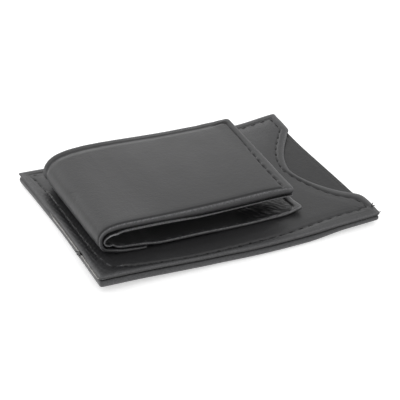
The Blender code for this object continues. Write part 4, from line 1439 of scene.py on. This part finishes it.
def inner_strip_rows():
    """Rows of the inner strip, from the side that lies on the leather to the side of the notes."""
    on_leg = smooth(inner_x, *LEG_X)
    in_fold = smooth(inner_x, *FOLD_START_X) * (1 - smooth(inner_x, *FOLD_END_X))
    middle = np.interp(np.clip(inner_strip_inner[:, 0], *LINING_SPINE), lining_along, lining_depth)
    rows = [(MARGIN, share, 0.0, 0) for share in (1.0, 0.75, 0.5, 0.25, 0.0)]
    rows.append((LINING_UNDER_INSET, 0, 0.0, 0))
    for angle in np.radians(np.linspace(-90, 90, LINING_RIM_ROWS)):
        up = math.sin(angle)
        out = math.cos(angle)
        # A painted highlight lies on the leg rim's top, and on the flap rim's outward face, most in the
        # fold
        leg_wear_and_highlight = LEG_RIM_WEAR_AND_HIGHLIGHT[0] + LEG_RIM_WEAR_AND_HIGHLIGHT[1] * max(0.0, up) ** 2
        rows.append((LINING_RIM_ROUND * (1 - out), 0,
                     -LINING_UNDER - (lining_rim - LINING_UNDER) * (0.5 + 0.5 * up),
                     on_leg * leg_wear_and_highlight + (1 - on_leg) * (FLAP_RIM_HIGHLIGHT + in_fold) * out ** 2))
    rows.append((LINING_TOP[0], 0, -lining_rim, LINING_TOP[1]))
    rows += [(lining_groove + offset, 0, -lining_rim + lining_groove_depth * share, 0)
             for offset, share in LINING_GROOVE_SHAPE]
    inside = lining_groove + LINING_GROOVE_SHAPE[-1][0]
    rows += [(inside + (MARGIN - inside) * share, 0,
              -lining_rim - (middle - lining_rim) * smooth(share, 0, 1), 0) for share in LINING_SHARES]
    rows += [(MARGIN, share, -middle, 0) for share in np.linspace(0.04, 1, MIDDLE_ROWS)]
    return rows


print(len(inner_strip_rows()), "rows round the inner strip's edge")

# %% [markdown]
# The creases stay off the edges, where the thread holds the skin flat.  They are low all along the
# strip and high over the magnets, where the skin is also polished by what it has been rubbed on.

# %% Inner strip of the clip
# Where the creases start and are whole, from the leg's end back, and in from its sides and its end
MAGNET_X = (27, 18)
EDGE_BAND = (0.8, 3.0)
END_BAND = (2.8, 4.0)
# Height of the creases everywhere, and how much higher they are over the magnets
CREASE_HEIGHT = 0.05
MAGNET_CREASE_HEIGHT = 0.27
# Points that lie deeper than this are on the side of the notes
NOTE_SIDE = -0.2
MAGNET_POLISH = 0.85
lining_grid, lining_rubbed = sweep_sheet(inner_strip_edge, inner_strip_inner, LINING_SPINE,
                                         inner_strip_rows())
flat_x, flat_y = lining_grid[..., 0], lining_grid[..., 1]
over_magnets = smooth(flat_x, LINING_LENGTH - MAGNET_X[0], LINING_LENGTH - MAGNET_X[1])
away_from_edge = (smooth(LINING_HALF - np.abs(flat_y), *EDGE_BAND)
                  * smooth(LINING_LENGTH - flat_x, *END_BAND))
crumple = CREASE_HEIGHT + MAGNET_CREASE_HEIGHT * over_magnets
lining_grid[..., 2] -= ((lining_grid[..., 2] < NOTE_SIDE)
                        * crumple * creases(flat_x, flat_y) * away_from_edge)
lining_grid[..., 2] -= buckle(flat_x, flat_y) + leg_curl(flat_x, flat_y)
clip_lining = add_sheet("clip_lining", lay_along(lining_course, lining_grid, -1), lining,
                        rubbed=lining_rubbed, polished=MAGNET_POLISH * over_magnets)
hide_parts("flap_lining", "fold_lining", "leg_lining")

# %% [markdown]
# A stitch of a sewing machine is a short piece of thread between two holes.  It lies in the valley
# that it has pulled, a little proud of it, and goes down at both ends.

# %% Stitches
THREAD_RADIUS = 0.17
THREAD_FLATNESS = 0.85
STITCH_SHARE = 0.66
RING_SIDES = 6
# Place of each ring from the stitch's middle to its end, share of the radius, and height in mm
STITCH_RINGS = ((-1.0, 0.0, -0.42), (-0.9, 0.75, -0.3), (-0.5, 1.0, 0.0), (0.0, 1.0, 0.12),
                (0.5, 1.0, 0.0), (0.9, 0.75, -0.3), (1.0, 0.0, -0.42))


def tube_faces(count, rings):
    """Faces of several tubes whose points follow each other: one tube's faces, moved on for each."""
    offsets = np.arange(count)[:, None, None] * rings * RING_SIDES
    return (grid_faces(rings, RING_SIDES)[None] + offsets).reshape(-1, 4)


def stitches_on(name, edge, inner, inset, height, pitch, start, end, place, facing=1,
                radius=THREAD_RADIUS):
    """Stitches beside an outline, as closed tubes of seven rings.

    Each ring has a place along its stitch, a share of the thread's radius and a height.  The rings
    stand across the seam's direction on the flat sheet, and the whole is laid in place afterwards.
    Facing is 1 on the upper side of a sheet and -1 on its lower side.
    """
    seam = ring_at(edge, inner, inset)
    reach, length = outline_reach(seam)
    count = int((end - start) / pitch + 0.5)
    middles = start + (np.arange(count) + 0.5) * pitch
    ring_place, ring_share, ring_height = np.array(STITCH_RINGS).T
    spots = (middles[:, None] + ring_place * pitch * STITCH_SHARE / 2) % length
    closed_reach = np.append(reach, length)
    closed_seam = np.concatenate([seam, seam[:1]])
    heights = np.broadcast_to(height, len(edge))
    x, y = (np.interp(spots, closed_reach, closed_seam[:, axis]) for axis in (0, 1))
    level = np.interp(spots, closed_reach, np.append(heights, heights[0]))
    along = np.stack([x[:, -1] - x[:, 0], y[:, -1] - y[:, 0]], axis=1)
    along /= np.linalg.norm(along, axis=1)[:, None]
    turn = np.linspace(0, 2 * np.pi, RING_SIDES, endpoint=False)
    across = radius * ring_share[:, None] * np.cos(turn)
    up = radius * ring_share[:, None] * np.sin(turn) * THREAD_FLATNESS + ring_height[:, None]
    points = np.stack([x[..., None] - along[:, 1, None, None] * across,
                       y[..., None] + along[:, 0, None, None] * across,
                       level[..., None] + facing * up], axis=-1)
    return add_piece(name, place(points.reshape(count, -1, 3)), tube_faces(count, len(STITCH_RINGS)),
                     thread)


def on_case_top(grid):
    """Put a flat grid whose heights count from the case's top in its place."""
    grid[..., 2] += CASE_TOP + tab_curl(grid[..., 0], grid[..., 1])
    return lay_on_case(grid)


print("stitches are", STITCH_SHARE, "of their pitch long")

# %% [markdown]
# The case has one seam right round it, which shows on the front leather and again on the hem below.
# On top the thread lies in the pinched valley, so its height follows the valley's depth.

# %% Stitches of the case
# Share of the valley's depth at which the thread lies, how much deeper it lies at the left but for
# that side's front end, and the height over the table underneath
VALLEY_SHARE = 0.78
LEFT_SINK = 0.1
UNDER_HEIGHT = 0.21
thread_height = pinch - seam_depth * VALLEY_SHARE + LEFT_SINK * left_front - LEFT_SINK * at_left
case_stitches = stitches_on("case_stitches", case_edge, case_inner, seam_inset, thread_height,
                            case_pitch, 0, case_length, on_case_top)
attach(case_stitches, "case")

under_length = outline_reach(ring_at(back_edge, back_inner, under_inset))[1]
under_pitch = whole_pitch(under_length, STITCH_PITCH)
underside_stitches = stitches_on("underside_stitches", back_edge, back_inner, under_inset, UNDER_HEIGHT,
                                 under_pitch, 0, under_length, lay_on_case, -1)
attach(underside_stitches, "case")

# %% [markdown]
# Here and there the cut end of a thread or a tuft of fibres sticks out: three ends at the front right
# corner, one on the front seam and a tuft of three at the left edge.  Each is a thin bent tube.

# %% Loose ends
# Start, way to the tip and sag of the middle, each as x, y and height over the case, in mm
LOOSE_ENDS = (
    ((50.2, -31.6, -0.2), (1.0, 0.5, 0.9), (0.1, 0.2, 0.2)),
    ((50.0, -32.2, -0.3), (1.2, -0.2, 0.5), (0.0, 0.3, 0.3)),
    ((50.3, -35.4, -0.6), (0.9, -0.7, 0.5), (0.2, 0.1, 0.2)),
    ((2.3, -34.3, -0.7), (0.5, 0.2, 0.9), (0.1, -0.2, 0.1)),
    ((-48.9, -18.6, -1.2), (-2.1, 1.3, 0.6), (0.0, 0.2, 0.2)),
    ((-48.9, -18.8, -1.2), (-2.3, -0.1, 0.2), (0.1, 0.1, 0.3)),
    ((-48.9, -19.0, -1.2), (-2.0, -1.2, 0.5), (-0.2, 0.1, 0.1)))
LOOSE_RADIUS = 0.18
# Share of the way along an end, and share of the radius there
LOOSE_SHAPE = ((0.0, 0.0), (0.02, 1.0), (0.35, 1.0), (0.65, 0.9), (0.9, 0.7), (1.0, 0.0))


def loose_ends():
    """Points of the bent tubes.

    A place along each is its start, plus the way times the share, plus the sag times the sine of
    half a turn of the share.  The rings stand across the way.
    """
    starts, ways, sags = np.array(LOOSE_ENDS).transpose(1, 0, 2)[:, :, None]
    shares, sizes = np.array(LOOSE_SHAPE).T[..., None]
    middle = starts + shares * ways + np.sin(np.pi * shares) * sags
    way = ways / np.linalg.norm(ways, axis=-1, keepdims=True)
    side = np.cross(way, (0.0, 0.0, 1.0))
    side /= np.linalg.norm(side, axis=-1, keepdims=True)
    over = np.cross(side, way)
    turn = np.linspace(0, 2 * np.pi, RING_SIDES, endpoint=False)[:, None]
    ring = np.cos(turn) * side + np.sin(turn) * over
    points = middle[:, :, None] + LOOSE_RADIUS * sizes[:, None] * ring[:, None]
    return points.reshape(len(LOOSE_ENDS), -1, 3)


frayed = add_piece("loose_thread_ends", on_case_top(loose_ends()),
                   tube_faces(len(LOOSE_ENDS), len(LOOSE_SHAPE)), thread)
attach(frayed, "case")

# %% [markdown]
# The clip's seams are laid out on the same flat sheets as its leather and then laid along the same
# courses, so the threads stay in their grooves.  The outer strip is sewn with a thicker thread.  Its
# seam starts and ends at the top of the fold, because the tail is held by glue.

# %% Stitches of the clip
OUTER_THREAD_RADIUS = 0.25
OUTER_THREAD_SINK = 0.2
# Stitches left out at each end of the outer strip's seam
TAIL_STITCHES = 7


def on_outer_strip(grid):
    """Lay flat stitches along the outer strip's course."""
    return lay_along(leather_course, grid, 1)


def on_inner_strip(grid):
    """Lay flat stitches along the inner strip's course, on the side of the notes."""
    grid[..., 2] -= leg_curl(grid[..., 0], grid[..., 1])
    return lay_along(lining_course, grid, -1)


outer_start = TAIL_STITCHES * strip_pitch
outer_end = 2 * LEATHER_LENGTH + 2 * CLIP_HALF - outer_start
clip_stitches = stitches_on("clip_stitches", strip_edge, strip_inner, groove,
                            -groove_depth - rim_fall - OUTER_THREAD_SINK, strip_pitch,
                            outer_start, outer_end, on_outer_strip, radius=OUTER_THREAD_RADIUS)

inner_length = outline_reach(ring_at(inner_strip_edge, inner_strip_inner, lining_groove))[1]
inner_pitch = whole_pitch(inner_length, STRIP_PITCH)
lining_stitches = stitches_on("lining_stitches", inner_strip_edge, inner_strip_inner, lining_groove,
                              -lining_rim + lining_groove_depth, inner_pitch, 0, inner_length,
                              on_inner_strip, -1)

# %% [markdown]
# The fold is where the clip moves.  Here the two strips and their stitches only have their places
# baked into their points.

# %% The clip's strips and stitches baked in place
for piece in (clip_leather, clip_lining, clip_stitches, lining_stitches):
    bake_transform(piece)

# %% [markdown]
# The boards and magnets are hidden in the clip.  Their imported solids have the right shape, so they
# are copied, divided finely enough to curl with the rest, and given their own finish.

# %% Boards and magnets
# The first of the outer strip's places that lies above the middle of the fold
ABOVE_FOLD = 8
# Cuts of each edge, and the distance in mm at which points are merged
SOLID_CUTS = 2
SOLID_MERGE = 0.001


def flap_rise(x, y):
    """How far the outer strip rises over the flap's packed place towards its back edge, in mm."""
    table = np.array(LEATHER_PLACES[ABOVE_FOLD:])
    return (0.5 + y / (2 * CLIP_HALF)) * np.interp(x - FOLD_FACE, table[:, 0], table[:, 3])


def lifted_copy(node, name, material, body):
    """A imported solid's shape, merged, divided and curled with the wallet."""
    shape = bmesh.new()
    shape.from_mesh(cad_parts[node].data)
    bmesh.ops.remove_doubles(shape, verts=shape.verts, dist=SOLID_MERGE * MM)
    bmesh.ops.subdivide_edges(shape, edges=shape.edges, cuts=SOLID_CUTS, use_grid_fill=True)
    mesh = bpy.data.meshes.new(name)
    shape.to_mesh(mesh)
    shape.free()
    points = np.empty(len(mesh.vertices) * 3, np.float32)
    mesh.vertices.foreach_get("co", points)
    points = points.reshape(-1, 3) / MM
    points[:, 2] += lift(points[:, 0], points[:, 1])
    if body == "flap":
        points[:, 2] += flap_rise(points[:, 0], points[:, 1])
    mesh.vertices.foreach_set("co", (points * MM).ravel())
    mesh.materials.clear()
    mesh.materials.append(material)
    piece = bpy.data.objects.new(name, mesh)
    bpy.context.scene.collection.objects.link(piece)
    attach(piece, body)
    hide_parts(node)


for side, body in (("flap", "flap"), ("leg", "case")):
    lifted_copy(side + "_board", side + "_stiffener", board, body)
    for place in ("front", "back"):
        lifted_copy(side + "_magnet_" + place, side + "_disc_magnet_" + place, nickel,
                    body)
print("two boards and four magnets lie in the clip")

# %% [markdown]
# The wallet lies on white paper.  For the camera the floor adds a little light of its own, which
# turns it to plain white but leaves the shadow on it.  Mirrored in the leather it is as bright.

# %% Floor
# Half the floor's size in metres, how far it lies under the wallet in mm, and its own light
FLOOR_HALF = 1.5
FLOOR_GAP = 0.05
FLOOR_GLOW = 0.5
floor_mesh = bpy.data.meshes.new("floor")
floor_mesh.from_pydata([(-FLOOR_HALF, -FLOOR_HALF, 0), (FLOOR_HALF, -FLOOR_HALF, 0),
                        (FLOOR_HALF, FLOOR_HALF, 0), (-FLOOR_HALF, FLOOR_HALF, 0)],
                       [], [(0, 1, 2, 3)])
floor = bpy.data.objects.new("floor", floor_mesh)
bpy.context.scene.collection.objects.link(floor)
floor.location.z = -FLOOR_GAP * MM
paper, tree, shader = new_material("white_paper_floor")
rays = add_node(tree, "ShaderNodeLightPath")
seen = add_node(tree, "ShaderNodeMath", {0: (rays, "Is Camera Ray"), 1: (rays, "Is Glossy Ray")},
                operation="MAXIMUM")
seen_through = add_node(tree, "ShaderNodeMath", {0: (seen, "Value"), 1: (rays, "Is Transmission Ray")},
                        operation="MAXIMUM")
glow = add_node(tree, "ShaderNodeMath", {0: (seen_through, "Value")}, {1: FLOOR_GLOW},
                operation="MULTIPLY")
connect(tree, shader, {"Emission Strength": (glow, "Value")},
        {"Emission Color": (1, 1, 1, 1), "Base Color": (0.8, 0.8, 0.8, 1), "Roughness": 0.9,
         "Specular IOR Level": 0.0})
floor_mesh.materials.append(paper)
print("floor", 2 * FLOOR_HALF, "m wide")

# %% [markdown]
# Black leather shows by what it mirrors.  So the light is a white tent, plain all round, and one long
# soft box stands behind the wallet, whose reflection draws the bright lines along rims and folds.

# %% Light
world = bpy.data.worlds.new("white_tent")
bpy.context.scene.world = world
world.use_nodes = True
background = world.node_tree.nodes["Background"]
background.inputs["Color"].default_value = (1, 1, 1, 1)
background.inputs["Strength"].default_value = 1.0


def soft_box(name, place, width, height, power, target=(0.0, 0.0, 0.01)):
    """A rectangular lamp that stands somewhere, in metres, and faces a target."""
    lamp = bpy.data.lights.new(name, "AREA")
    lamp.shape = "RECTANGLE"
    lamp.size = width
    lamp.size_y = height
    lamp.energy = power
    obj = bpy.data.objects.new(name, lamp)
    obj.location = place
    obj.rotation_euler = (Vector(target) - Vector(place)).to_track_quat("-Z", "Y").to_euler()
    bpy.context.scene.collection.objects.link(obj)


soft_box("soft_box_behind", (-0.04, 0.33, 0.135), 0.5, 0.16, 0.27)
print("white tent and soft box set")
